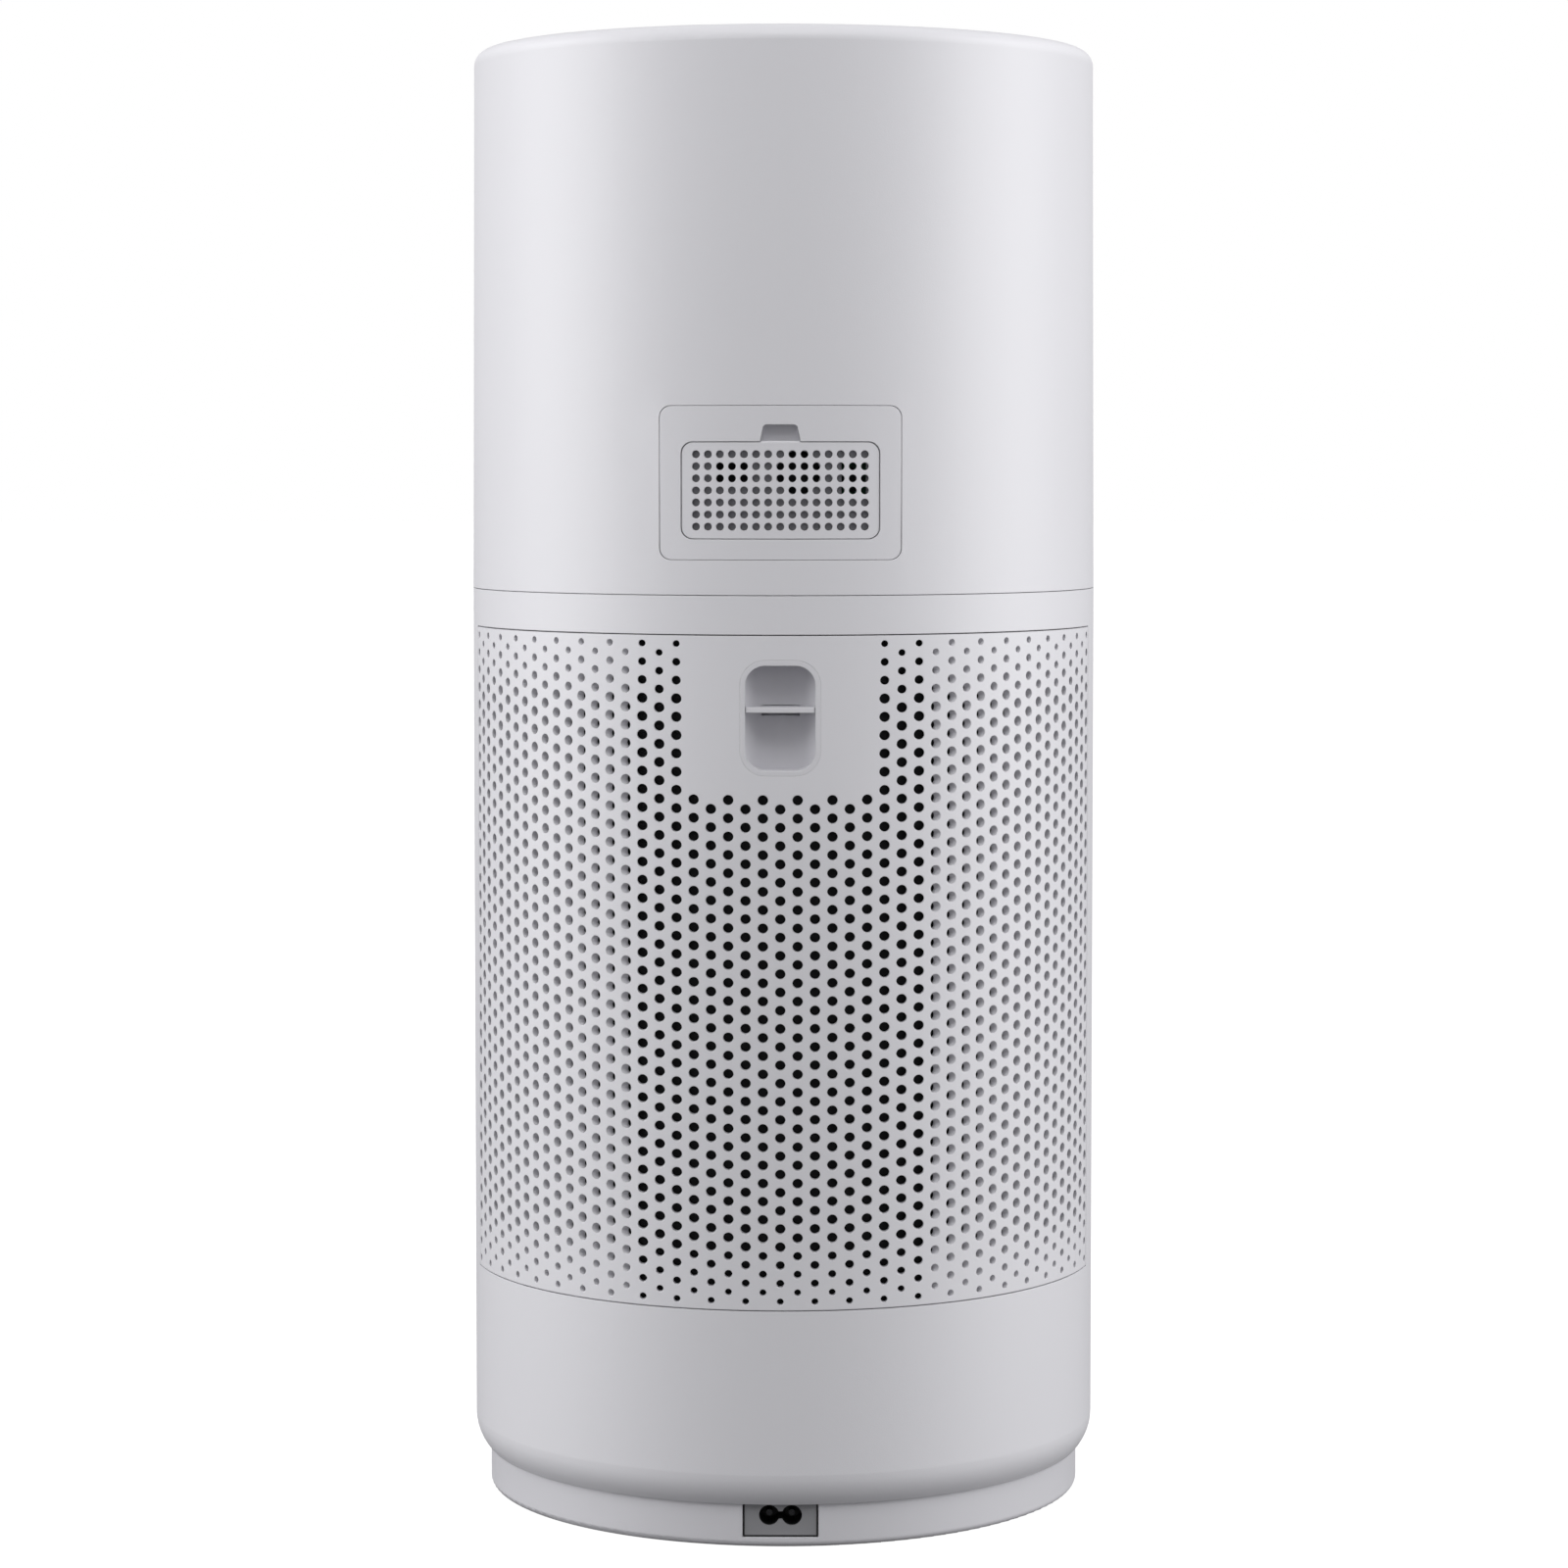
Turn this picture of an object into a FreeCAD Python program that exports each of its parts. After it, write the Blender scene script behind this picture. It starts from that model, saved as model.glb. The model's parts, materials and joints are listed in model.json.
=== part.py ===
import FreeCAD, Part
import math
import os
import Sketcher
from FreeCAD import Vector
from types import SimpleNamespace

# A cylindrical tower air purifier: base, filter housing with a perforated rear door, fan and top.
# +Z is up, the origin is the centre of the footprint, the rear (door, sensor, inlet) faces +Y.
# Lengths are millimetres, angles degrees.

SIZES = {
    # outer form
    "body_radius": 125,
    "upper_height": 214,          # top shell, from the seam to the top rim
    "opening_height": 256.4,      # door opening
    "opening_bottom": 92.7,
    "band_height": 14.7,           # closed band between the door and the seam
    "opening_half_angle": 76,
    "housing_wall": 2.5,
    "ledge_width": 4,
    "ledge_thickness": 2,
    "seam_gap": 0.24,
    "part_gap": 0.3,
    "loose_gap": 0.5,
    "shell_draft": 1,
    "top_round": 6,
    "lip_width": 6.7,
    "lip_wall": 2.2,
    "lip_depth": 10,
    "spigot_depth": 6,
    # base
    "foot_standout": 0.8,
    "foot_radius": 9,
    "foot_thickness": 2.5,
    "foot_circle": 100,
    "foot_gap": 0.1,
    "base_floor": 3,
    "base_wall": 3,
    "base_step": 6,               # how far the base ring stands inside the housing
    "base_round": 2.5,
    "skirt_height": 17.6,
    "skirt_inset": 4.8,
    "skirt_rise": 12.3,
    "base_spigot_top": 40,
    "boss_circle": 104,
    "boss_radius": 5.5,
    "boss_top": 24,
    "screw_head_radius": 3.2,
    "screw_head_height": 2.5,
    "screw_radius": 1.5,
    "screw_seat": 12,
    "screw_length": 28,
    # power inlet
    "inlet_width": 28.3,
    "inlet_bottom": 4.9,
    "inlet_flange": 3.6,
    "inlet_recess": 1.4,          # flat face behind the base ring
    "inlet_body_width": 25,
    "inlet_body_top": 21,
    "inlet_body_depth": 16,
    "pin_spacing": 8.6,
    "pin_radius": 1.2,
    "pin_length": 9.4,
    "socket_radius": 3.9,
    "socket_waist": 3,
    "socket_centre": 13,
    "socket_depth": 14,
    # power board
    "board_width": 100,
    "board_length": 80,
    "board_thickness": 1.6,
    "standoff_height": 6,
    "standoff_radius": 3,
    "standoff_inset": 5,
    "transformer_width": 30,
    "transformer_length": 27,
    "transformer_height": 22,
    "heat_sink_width": 25,
    "heat_sink_thickness": 4,
    "choke_radius": 9,
    "choke_height": 12,
    "capacitor_radius": 8,
    "capacitor_height": 25,
    # filter bay and filter
    "bay_floor": 3,
    "bay_drop": 3,                # bay floor's top below the opening
    "airway": 23.5,               # between the housing wall and the filter
    "locator_wall": 2,
    "locator_gap": 1,
    "locator_height": 5,
    "cap_thickness": 3,
    "cap_rim": 7,
    "cap_wall": 2.7,
    "net_thickness": 0.8,
    "pleat_depth": 20,
    "pleat_count": 90,
    "pleat_thickness": 1.1,
    "carbon_thickness": 7.5,
    "core_wall": 2.5,
    "core_windows": 12,
    "core_window_width": 10,
    "seal_height": 7,
    "seal_width": 10,
    "tab_thickness": 1.5,
    "tab_width": 24,
    "tab_length": 52,
    # cable duct
    "duct_width": 18,
    "duct_depth": 10,
    "duct_wall": 1.5,
    # door
    "door_gap": 0.4,
    "door_wall": 3,
    "hole_radius": 1.96,
    "hole_pitch": 6.547,
    "hole_rise": 6.92,
    "hole_margin": 3.75,
    "plain_width": 71.5,           # unperforated plate round the finger cup
    "plain_drop": 60.4,
    "screen_thickness": 0.6,
    "cup_width": 26.4,
    "cup_height": 39.6,
    "cup_drop": 31.45,            # cup centre below the opening's top
    "cup_corner": 7.5,
    "cup_depth": 15,
    "cup_wall": 2,
    "scoop_radius": 13.6,
    "bar_thickness": 2,
    "bar_rise": 3.1,              # bar centre above the cup centre
    "bar_setback": 0.3,
    "bar_gap": 0.2,
    "neck_width": 14,
    "latch_travel": 1.5,
    "latch_width": 22,
    "latch_plate": 3,
    "latch_tail": 16,
    "latch_head": 12,
    "tongue_width": 12,
    "tongue_bite": 1.8,
    "guide_wall": 2.4,
    "spring_radius": 1.6,
    "spring_wire": 0.6,
    "spring_turns": 5,
    "spring_length": 9,
    "strike_width": 14,
    "strike_thickness": 0.8,
    "switch_width": 12,
    "switch_height": 8,
    # sensor panel
    "bezel_width": 91,
    "bezel_height": 57.8,
    "bezel_rise": 42.35,          # panel centre above the seam
    "bezel_corner": 4.4,
    "bezel_sink": 0.25,
    "bezel_gap": 0.15,
    "bezel_face": 2.7,
    "bezel_flange": 4.5,
    "flange_reach": 3,
    "lid_width": 74.4,
    "lid_height": 36.2,
    "lid_drop": 2.88,             # lid centre below the panel centre
    "lid_sink": 0.5,
    "lid_thickness": 2.2,
    "lid_seat": 2,
    "lid_travel_gap": 0.25,
    "lid_hole_radius": 1.45,
    "lid_hole_pitch": 4.53,
    "notch_width": 15.8,
    "notch_height": 6.6,
    "notch_taper": 1.3,
    "notch_corner": 1.6,
    "notch_depth": 5,
    "lid_tab_gap": 0.6,
    "lid_tab_height": 0.5,
    "bracket_wall": 1.6,
    "gas_port_radius": 8.2,
    "gas_sensor_radius": 4.5,
    "gas_sensor_height": 4,
    "dust_sensor_width": 45,
    "dust_sensor_height": 24,
    "dust_sensor_depth": 4.5,
    # fan
    "deck_thickness": 3,
    "eye_radius": 60,
    "guard_thickness": 2,
    "guard_ring": 35,
    "guard_hub": 12,
    "guard_spokes": 8,
    "cone_foot": 16,
    "cone_wall": 2,
    "casing_inset": 23,           # casing's outer wall inside the body radius
    "casing_wall": 2,
    "casing_foot": 5,
    "casing_height": 133,
    "hub_rise": 83,               # motor plate above the deck
    "hub_radius": 58,
    "vane_count": 13,
    "vane_sweep": 22,
    "vane_thickness": 1.8,
    "impeller_clearance": 15,
    "impeller_rise": 11,          # eye collar above the deck
    "impeller_collar": 10,
    "impeller_plate": 2,
    "blade_height": 30,
    "blade_count": 11,
    "blade_thickness": 1.6,
    "blade_inner_radius": 61,
    "blade_sweep": 34,
    "back_plate": 2.5,
    "wheel_hub_radius": 14,
    "wheel_hub_height": 10,
    "shaft_radius": 4,
    "shaft_gap": 0.05,
    "shaft_overhang": 10,
    "nut_wall": 4,
    "nut_height": 8,
    "rotor_radius": 32,
    "rotor_height": 21.5,
    "rotor_wall": 2,
    "magnet_thickness": 2.5,
    "air_gap": 0.7,
    "slot_count": 12,
    "tooth_width": 3,
    "coil_width": 5.4,
    "coil_overhang": 2,
    "stator_height": 8,
    "stator_lift": 0.75,
    "bearing_radius": 8,
    "bearing_height": 5,
    "tube_wall": 2,
    "bracket_radius": 46,
    "bracket_thickness": 3,
    # top
    "chassis_drop": 22,           # chassis flange below the top rim
    "chassis_plate": 3,
    "chassis_flare": 28,
    "grille_height": 11,
    "grille_fins": 48,
    "fin_thickness": 1.6,
    "grille_ring": 3.3,
    "panel_radius": 54.7,
    "panel_plate": 3,
    "panel_standout": 1,
    "panel_seat": 5,
    "panel_post_radius": 2.5,
    "panel_post_inset": 9,
    "key_radius": 6,
    "key_spacing": 19,
    "key_offset": 20,
    "key_travel": 1,
    "key_standout": 0.6,
    "key_flange": 1.2,
    "key_stem_inset": 3,
    "switch_size": 6,
    "switch_rise": 1.2,
    "window_width": 56,
    "window_height": 20,
    "window_depth": 1,
    "window_offset": 12,
    "window_corner": 4,
}

PERFORATION_ENDS = (0.65, 0.76, 0.86)   # the first and last holes of a column, as shares of full size
LID_COLUMNS = 15
LID_ROWS = 7
FULL_TURN = 360
KEY_NAMES = ("power_key", "mode_key", "speed_key", "timer_key")


class Size:
    """A number together with the sheet expression that gives it."""

    def __init__(self, value, text):
        self.value = float(value)
        self.text = text

    def __add__(self, other):
        other = as_size(other)
        return Size(self.value + other.value, f"({self.text} + {other.text})")

    def __sub__(self, other):
        other = as_size(other)
        return Size(self.value - other.value, f"({self.text} - {other.text})")

    def __mul__(self, other):
        other = as_size(other)
        return Size(self.value * other.value, f"({self.text} * {other.text})")

    def __truediv__(self, other):
        other = as_size(other)
        return Size(self.value / other.value, f"({self.text} / {other.text})")

    def __neg__(self):
        return Size(-self.value, f"(0 - {self.text})")

    __radd__ = __add__

    def __rmul__(self, other):
        return as_size(other) * self

    def __rsub__(self, other):
        return as_size(other) - self

    def __rtruediv__(self, other):
        return as_size(other) / self


def as_size(number):
    return number if isinstance(number, Size) else Size(number, repr(float(number)))


def sine(angle):
    angle = as_size(angle)
    return Size(math.sin(math.radians(angle.value)), f"sin({angle.text})")


def cosine(angle):
    angle = as_size(angle)
    return Size(math.cos(math.radians(angle.value)), f"cos({angle.text})")


doc = FreeCAD.newDocument("air_purifier")
sheet = doc.addObject("Spreadsheet::Sheet", "sizes")
for row, (alias, number) in enumerate(SIZES.items(), start=1):
    sheet.set(f"A{row}", alias)
    sheet.set(f"B{row}", str(number))
    sheet.setAlias(f"B{row}", alias)
doc.recompute()
S = SimpleNamespace(**{alias: Size(number, "sizes." + alias) for alias, number in SIZES.items()})

# where the parts stand on the power board, from its centre
TRANSFORMER_PLACE = (-25, 1.5)
HEAT_SINK_PLACE = (32.5, -28)
CHOKE_PLACE = (35, 0)
CAPACITOR_PLACES = ((8, -14), (8, 12))

# what shows through the sensor lid: (left, right, bottom, top) of each port from the lid's centre
SQUARE_PORTS = ((11.6, 24.4, 2.4, 11.8), (-32.2, -23, -2.2, 11.3))
ROUND_PORT_PLACE = (-6.75, 6.75)
GAS_SENSOR_PLACE = (-27, 4)
DUST_SENSOR_PLACE = (5.5, 2)

ZERO = as_size(0)
PAST = 5                # how far a cutting shape runs past what it cuts
OVERLAP = 1             # how far joined shapes run into each other
ARC_DEGREES = as_size(math.degrees(1))

# heights
OPENING_TOP = S.opening_bottom + S.opening_height
SEAM = OPENING_TOP + S.band_height
TOP = SEAM + S.upper_height
BASE_TOP = S.foot_standout + S.base_floor
BAY_TOP = S.opening_bottom - S.bay_drop
BAY_UNDER = BAY_TOP - S.bay_floor
DECK_UNDER = OPENING_TOP + S.ledge_thickness
DECK_TOP = DECK_UNDER + S.deck_thickness
CAP_TOP = DECK_UNDER - S.seal_height
MEDIA_BOTTOM = BAY_TOP + S.cap_thickness
MEDIA_TOP = CAP_TOP - S.cap_thickness
CUP_CENTRE = OPENING_TOP - S.cup_drop
BAR_CENTRE = CUP_CENTRE + S.bar_rise
BEZEL_CENTRE = SEAM + S.bezel_rise
LID_CENTRE = BEZEL_CENTRE - S.lid_drop
CASING_TOP = DECK_TOP + S.casing_height
HUB_PLATE = DECK_TOP + S.hub_rise
EYE_BOTTOM = DECK_TOP + S.impeller_rise
SHROUD_TOP = EYE_BOTTOM + S.impeller_collar + S.impeller_plate
WHEEL_PLATE = SHROUD_TOP + S.blade_height
ROTOR_BOTTOM = WHEEL_PLATE + S.back_plate
STATOR_CENTRE = ROTOR_BOTTOM + S.rotor_height / 2 + S.stator_lift
BRACKET_UNDER = HUB_PLATE - S.bracket_thickness
GRILLE_BOTTOM = TOP - S.chassis_drop + S.chassis_plate
GRILLE_TOP = GRILLE_BOTTOM + S.grille_height
PANEL_TOP = GRILLE_TOP + S.panel_standout
PANEL_UNDER = PANEL_TOP - S.panel_plate
PANEL_SEAT = GRILLE_BOTTOM + S.panel_seat

# radii and distances from the axis
INNER_RADIUS = S.body_radius - S.housing_wall
LEDGE_RADIUS = INNER_RADIUS - S.ledge_width
SKIRT_RADIUS = S.body_radius - S.skirt_inset
SKIRT_ROUND = (S.skirt_rise * S.skirt_rise + S.skirt_inset * S.skirt_inset) / (2 * S.skirt_inset)
BASE_RADIUS = S.body_radius - S.base_step
SPIGOT_RADIUS = SKIRT_RADIUS - S.housing_wall - 2 * S.part_gap
PLATE_RADIUS = INNER_RADIUS - S.part_gap
FILTER_RADIUS = INNER_RADIUS - S.airway
CAP_INNER = FILTER_RADIUS - S.cap_wall
LOCATOR_INNER = FILTER_RADIUS + S.locator_gap
NET_OUTER = CAP_INNER - S.loose_gap
PLEAT_OUTER = NET_OUTER - S.net_thickness - S.loose_gap
PLEAT_INNER = PLEAT_OUTER - S.pleat_depth
CARBON_INNER = PLEAT_INNER - S.loose_gap - S.carbon_thickness
CORE_INNER = CARBON_INNER - S.loose_gap - S.core_wall
DUCT_OUTER = LEDGE_RADIUS - S.loose_gap
DUCT_INNER = DUCT_OUTER - S.duct_depth
DOOR_INNER = S.body_radius - S.door_wall
SCREEN_OUTER = DOOR_INNER - S.door_gap
CUP_BACK = S.body_radius - S.cup_depth - S.cup_wall
SCOOP_CENTRE = S.body_radius - S.cup_depth + S.scoop_radius
SLIDER_FRONT = CUP_BACK - S.part_gap
SLIDER_BACK = SLIDER_FRONT - S.latch_plate
BEZEL_OUTER = S.body_radius - S.bezel_sink
BEZEL_INNER = BEZEL_OUTER - S.bezel_face
FLANGE_INNER = BEZEL_INNER - S.bezel_flange
LID_OUTER = S.body_radius - S.lid_sink
LID_INNER = LID_OUTER - S.lid_thickness
BRACKET_OUTER = LID_INNER - 2 * S.part_gap
CASING_OUTER = S.body_radius - S.casing_inset
CASING_INNER = CASING_OUTER - S.casing_wall
IMPELLER_RADIUS = CASING_INNER - S.impeller_clearance
INLET_FACE = BASE_RADIUS - S.inlet_recess
GRILLE_RADIUS = S.body_radius - S.shell_draft - S.lip_width - S.loose_gap


def bind(thing, target, size):
    thing.setExpression(target, as_size(size).text)


def new_body(name):
    body = doc.addObject("PartDesign::Body", name)
    body.Label = name
    body.AllowCompound = True
    return body


def origin_part(body, role):
    return next(part for part in body.Origin.OriginFeatures if part.Role == role)


def new_sketch(body, plane, offset):
    sketch = body.newObject("Sketcher::SketchObject", body.Name + "_sketch")
    sketch.AttachmentSupport = [(origin_part(body, plane), "")]
    sketch.MapMode = "FlatFace"
    bind(sketch, "AttachmentOffset.Base.z", offset)
    return sketch


def dimension(sketch, size, kind, *where):
    index = sketch.addConstraint(Sketcher.Constraint(kind, *where, size.value))
    bind(sketch, f"Constraints[{index}]", size)


def pin(sketch, geometry, end, x, y):
    dimension(sketch, as_size(x), "DistanceX", -1, 1, geometry, end)
    dimension(sketch, as_size(y), "DistanceY", -1, 1, geometry, end)


def arc_between(start, finish, radius):
    """An arc that leaves the straight line to the right of travel for a positive radius."""
    chord = finish - start
    half = chord.Length / 2
    side = math.copysign(1, radius)
    normal = Vector(chord.y, -chord.x, 0).normalize() * side
    centre = (start + finish) / 2 - normal * math.sqrt(max(radius * radius - half * half, 0))
    first, last = (start, finish) if side > 0 else (finish, start)
    angles = [math.atan2(point.y - centre.y, point.x - centre.x) for point in (first, last)]
    if angles[1] < angles[0]:
        angles[1] += 2 * math.pi
    circle = Part.Circle(centre, Vector(0, 0, 1), abs(radius))
    ends = (1, 2) if side > 0 else (2, 1)
    return Part.ArcOfCircle(circle, *angles), ends


def outline(sketch, points):
    """A closed outline of (x, y) points; a third number makes the edge to the next point an arc."""
    edges = []
    for here, following in zip(points, points[1:] + points[:1]):
        start = Vector(as_size(here[0]).value, as_size(here[1]).value, 0)
        finish = Vector(as_size(following[0]).value, as_size(following[1]).value, 0)
        if len(here) == 3:
            curve, ends = arc_between(start, finish, as_size(here[2]).value)
        else:
            curve, ends = Part.LineSegment(start, finish), (1, 2)
        edges.append((sketch.addGeometry(curve, False), ends))
    for (here, ends), point, (after, after_ends) in zip(edges, points, edges[1:] + edges[:1]):
        sketch.addConstraint(Sketcher.Constraint("Coincident", here, ends[1], after, after_ends[0]))
        pin(sketch, here, ends[0], point[0], point[1])
        if len(point) == 3:
            radius = point[2] if as_size(point[2]).value > 0 else -point[2]
            dimension(sketch, radius, "Radius", here)


def circle(sketch, x, y, radius):
    centre = Vector(as_size(x).value, as_size(y).value, 0)
    geometry = sketch.addGeometry(Part.Circle(centre, Vector(0, 0, 1), as_size(radius).value), False)
    pin(sketch, geometry, 3, x, y)
    dimension(sketch, as_size(radius), "Radius", geometry)


def rectangle(left, bottom, right, top):
    return [(left, bottom), (right, bottom), (right, top), (left, top)]


def rounded(centre_x, centre_y, width, height, corner):
    left = centre_x - width / 2
    right = centre_x + width / 2
    bottom = centre_y - height / 2
    top = centre_y + height / 2
    return [
        (left + corner, bottom), (right - corner, bottom, corner),
        (right, bottom + corner), (right, top - corner, corner),
        (right - corner, top), (left + corner, top, corner),
        (left, top - corner), (left, bottom + corner, corner),
    ]


def turn(body, *outlines, angle=None, cut=False):
    """Turn (radius, height) outlines about the axis, or a sector of them centred on the rear."""
    sketch = new_sketch(body, "YZ_Plane", ZERO)
    for points in outlines:
        outline(sketch, points)
    feature = body.newObject("PartDesign::Groove" if cut else "PartDesign::Revolution", body.Name + "_turn")
    feature.Profile = sketch
    feature.ReferenceAxis = (sketch, ["V_Axis"])
    if angle is None:
        feature.Angle = FULL_TURN
    else:
        feature.Midplane = True
        bind(feature, "Angle", angle)
    return feature


def extrude(body, plane, low, high, *shapes, cut=False):
    """Pad or pocket shapes between two distances along the plane's axis: Z, Y or X."""
    if plane == "XZ_Plane":
        offset = -low if cut else -high
    else:
        offset = high if cut else low
    sketch = new_sketch(body, plane, offset)
    for shape in shapes:
        if isinstance(shape, tuple):
            circle(sketch, *shape)
        else:
            outline(sketch, shape)
    feature = body.newObject("PartDesign::Pocket" if cut else "PartDesign::Pad", body.Name + "_extrusion")
    feature.Profile = sketch
    bind(feature, "Length", high - low)
    return feature


def repeat_round(body, count, *features):
    pattern = body.newObject("PartDesign::PolarPattern", body.Name + "_round")
    pattern.Originals = list(features)
    pattern.Axis = (origin_part(body, "Z_Axis"), [""])
    pattern.Angle = FULL_TURN
    bind(pattern, "Occurrences", count)
    body.Tip = pattern
    return pattern


def turned(name, *outlines, angle=None):
    body = new_body(name)
    turn(body, *outlines, angle=angle)
    return body


def extruded(name, plane, low, high, *shapes):
    body = new_body(name)
    extrude(body, plane, low, high, *shapes)
    return body


def spread(centre, width):
    """The two ends of a width about its centre."""
    return centre - width / 2, centre + width / 2


def box(name, x, y, z):
    """A block between (low, high) pairs along each axis."""
    block = doc.addObject("Part::Box", name)
    for side, place, (low, high) in zip(("Length", "Width", "Height"), "xyz", (x, y, z)):
        bind(block, side, as_size(high) - low)
        bind(block, "Placement.Base." + place, low)
    return block


def upright(name, radius, low, high, x=ZERO, y=ZERO):
    cylinder = doc.addObject("Part::Cylinder", name)
    bind(cylinder, "Radius", radius)
    bind(cylinder, "Height", as_size(high) - low)
    for place, value in zip("xyz", (x, y, low)):
        bind(cylinder, "Placement.Base." + place, value)
    return cylinder


def combine(kind, name, *shapes):
    joined = doc.addObject("Part::" + kind, name)
    joined.Label = name
    if kind == "Cut":
        joined.Base, joined.Tool = shapes
    else:
        joined.Shapes = list(shapes)
    return joined


def free_shape(name, shape):
    feature = doc.addObject("Part::Feature", name)
    feature.Label = name
    feature.Shape = shape
    feature.Placement = FreeCAD.Placement()
    return feature


def make_base():
    tray = turned("base_tray", [
        (ZERO, S.foot_standout), (BASE_RADIUS - S.base_round, S.foot_standout, S.base_round),
        (BASE_RADIUS, S.foot_standout + S.base_round), (BASE_RADIUS, S.skirt_height),
        (SPIGOT_RADIUS, S.skirt_height), (SPIGOT_RADIUS, S.base_spigot_top),
        (SPIGOT_RADIUS - S.base_wall, S.base_spigot_top), (SPIGOT_RADIUS - S.base_wall, BASE_TOP),
        (ZERO, BASE_TOP)])
    notch_half = S.inlet_width / 2 + S.part_gap
    notch_back = INLET_FACE - S.inlet_flange - S.inlet_body_depth - S.part_gap
    extrude(tray, "XZ_Plane", notch_back, BASE_RADIUS + PAST,
            rectangle(-notch_half, S.inlet_bottom - S.part_gap, notch_half, S.boss_top), cut=True)
    recess = extrude(tray, "XY_Plane", ZERO, S.foot_thickness,
                     (S.foot_circle, ZERO, S.foot_radius + S.foot_gap), cut=True)
    repeat_round(tray, 4, recess)
    across = S.boss_circle * sine(45)
    boss = extrude(tray, "XY_Plane", BASE_TOP, S.boss_top, (across, across, S.boss_radius))
    counterbore = extrude(tray, "XY_Plane", ZERO, S.screw_seat,
                          (across, across, S.screw_head_radius + S.part_gap), cut=True)
    clearance = extrude(tray, "XY_Plane", S.screw_seat, S.boss_top,
                        (across, across, S.screw_radius + S.part_gap), cut=True)
    repeat_round(tray, 4, boss, counterbore, clearance)
    stand_x = S.board_width / 2 - S.standoff_inset
    stand_y = S.board_length / 2 - S.standoff_inset
    stands = [(x, y, S.standoff_radius) for x in (-stand_x, stand_x) for y in (-stand_y, stand_y)]
    extrude(tray, "XY_Plane", BASE_TOP, BASE_TOP + S.standoff_height, *stands)

    feet = new_body("rubber_feet")
    foot = extrude(feet, "XY_Plane", ZERO, S.foot_thickness, (S.foot_circle, ZERO, S.foot_radius))
    repeat_round(feet, 4, foot)

    screws = new_body("housing_screws")
    head = extrude(screws, "XY_Plane", S.screw_seat - S.screw_head_height, S.screw_seat,
                   (across, across, S.screw_head_radius))
    shank = extrude(screws, "XY_Plane", S.screw_seat, S.screw_seat + S.screw_length,
                    (across, across, S.screw_radius))
    repeat_round(screws, 4, head, shank)
    return [tray, feet, screws]


def make_inlet():
    block = new_body("power_inlet")
    half = S.inlet_width / 2
    body_half = S.inlet_body_width / 2
    back = INLET_FACE - S.inlet_flange
    extrude(block, "XZ_Plane", back, INLET_FACE,
            rectangle(-half, S.inlet_bottom, half, S.skirt_height - S.part_gap))
    extrude(block, "XZ_Plane", back - S.inlet_body_depth, back,
            rectangle(-body_half, S.inlet_bottom + S.part_gap, body_half, S.inlet_body_top))
    floor = INLET_FACE - S.socket_depth
    for side in (-1, 1):
        extrude(block, "XZ_Plane", floor, INLET_FACE,
                (side * S.pin_spacing / 2, S.socket_centre, S.socket_radius), cut=True)
    extrude(block, "XZ_Plane", floor, INLET_FACE,
            rectangle(-S.pin_spacing / 2, S.socket_centre - S.socket_waist / 2,
                      S.pin_spacing / 2, S.socket_centre + S.socket_waist / 2), cut=True)
    pins = extruded("inlet_pins", "XZ_Plane", floor, floor + S.pin_length,
                    *[(side * S.pin_spacing / 2, S.socket_centre, S.pin_radius) for side in (-1, 1)])
    return [block, pins]


def make_power_board():
    under = BASE_TOP + S.standoff_height
    face = under + S.board_thickness
    half_width = S.board_width / 2
    half_length = S.board_length / 2
    board = extruded("power_board", "XY_Plane", under, face,
                     rectangle(-half_width, -half_length, half_width, half_length))
    transformer = box("transformer", spread(TRANSFORMER_PLACE[0], S.transformer_width),
                      spread(TRANSFORMER_PLACE[1], S.transformer_length),
                      (face, face + S.transformer_height))
    heat_sink = box("heat_sink", spread(HEAT_SINK_PLACE[0], S.heat_sink_width),
                    spread(HEAT_SINK_PLACE[1], S.heat_sink_thickness), (face, face + S.transformer_height))
    choke = upright("choke", S.choke_radius, face, face + S.choke_height, *CHOKE_PLACE)
    tanks = [upright("capacitor", S.capacitor_radius, face, face + S.capacitor_height, *place)
             for place in CAPACITOR_PLACES]
    parts = combine("MultiFuse", "power_components", transformer, heat_sink, choke, *tanks)
    return [board, parts]


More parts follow.
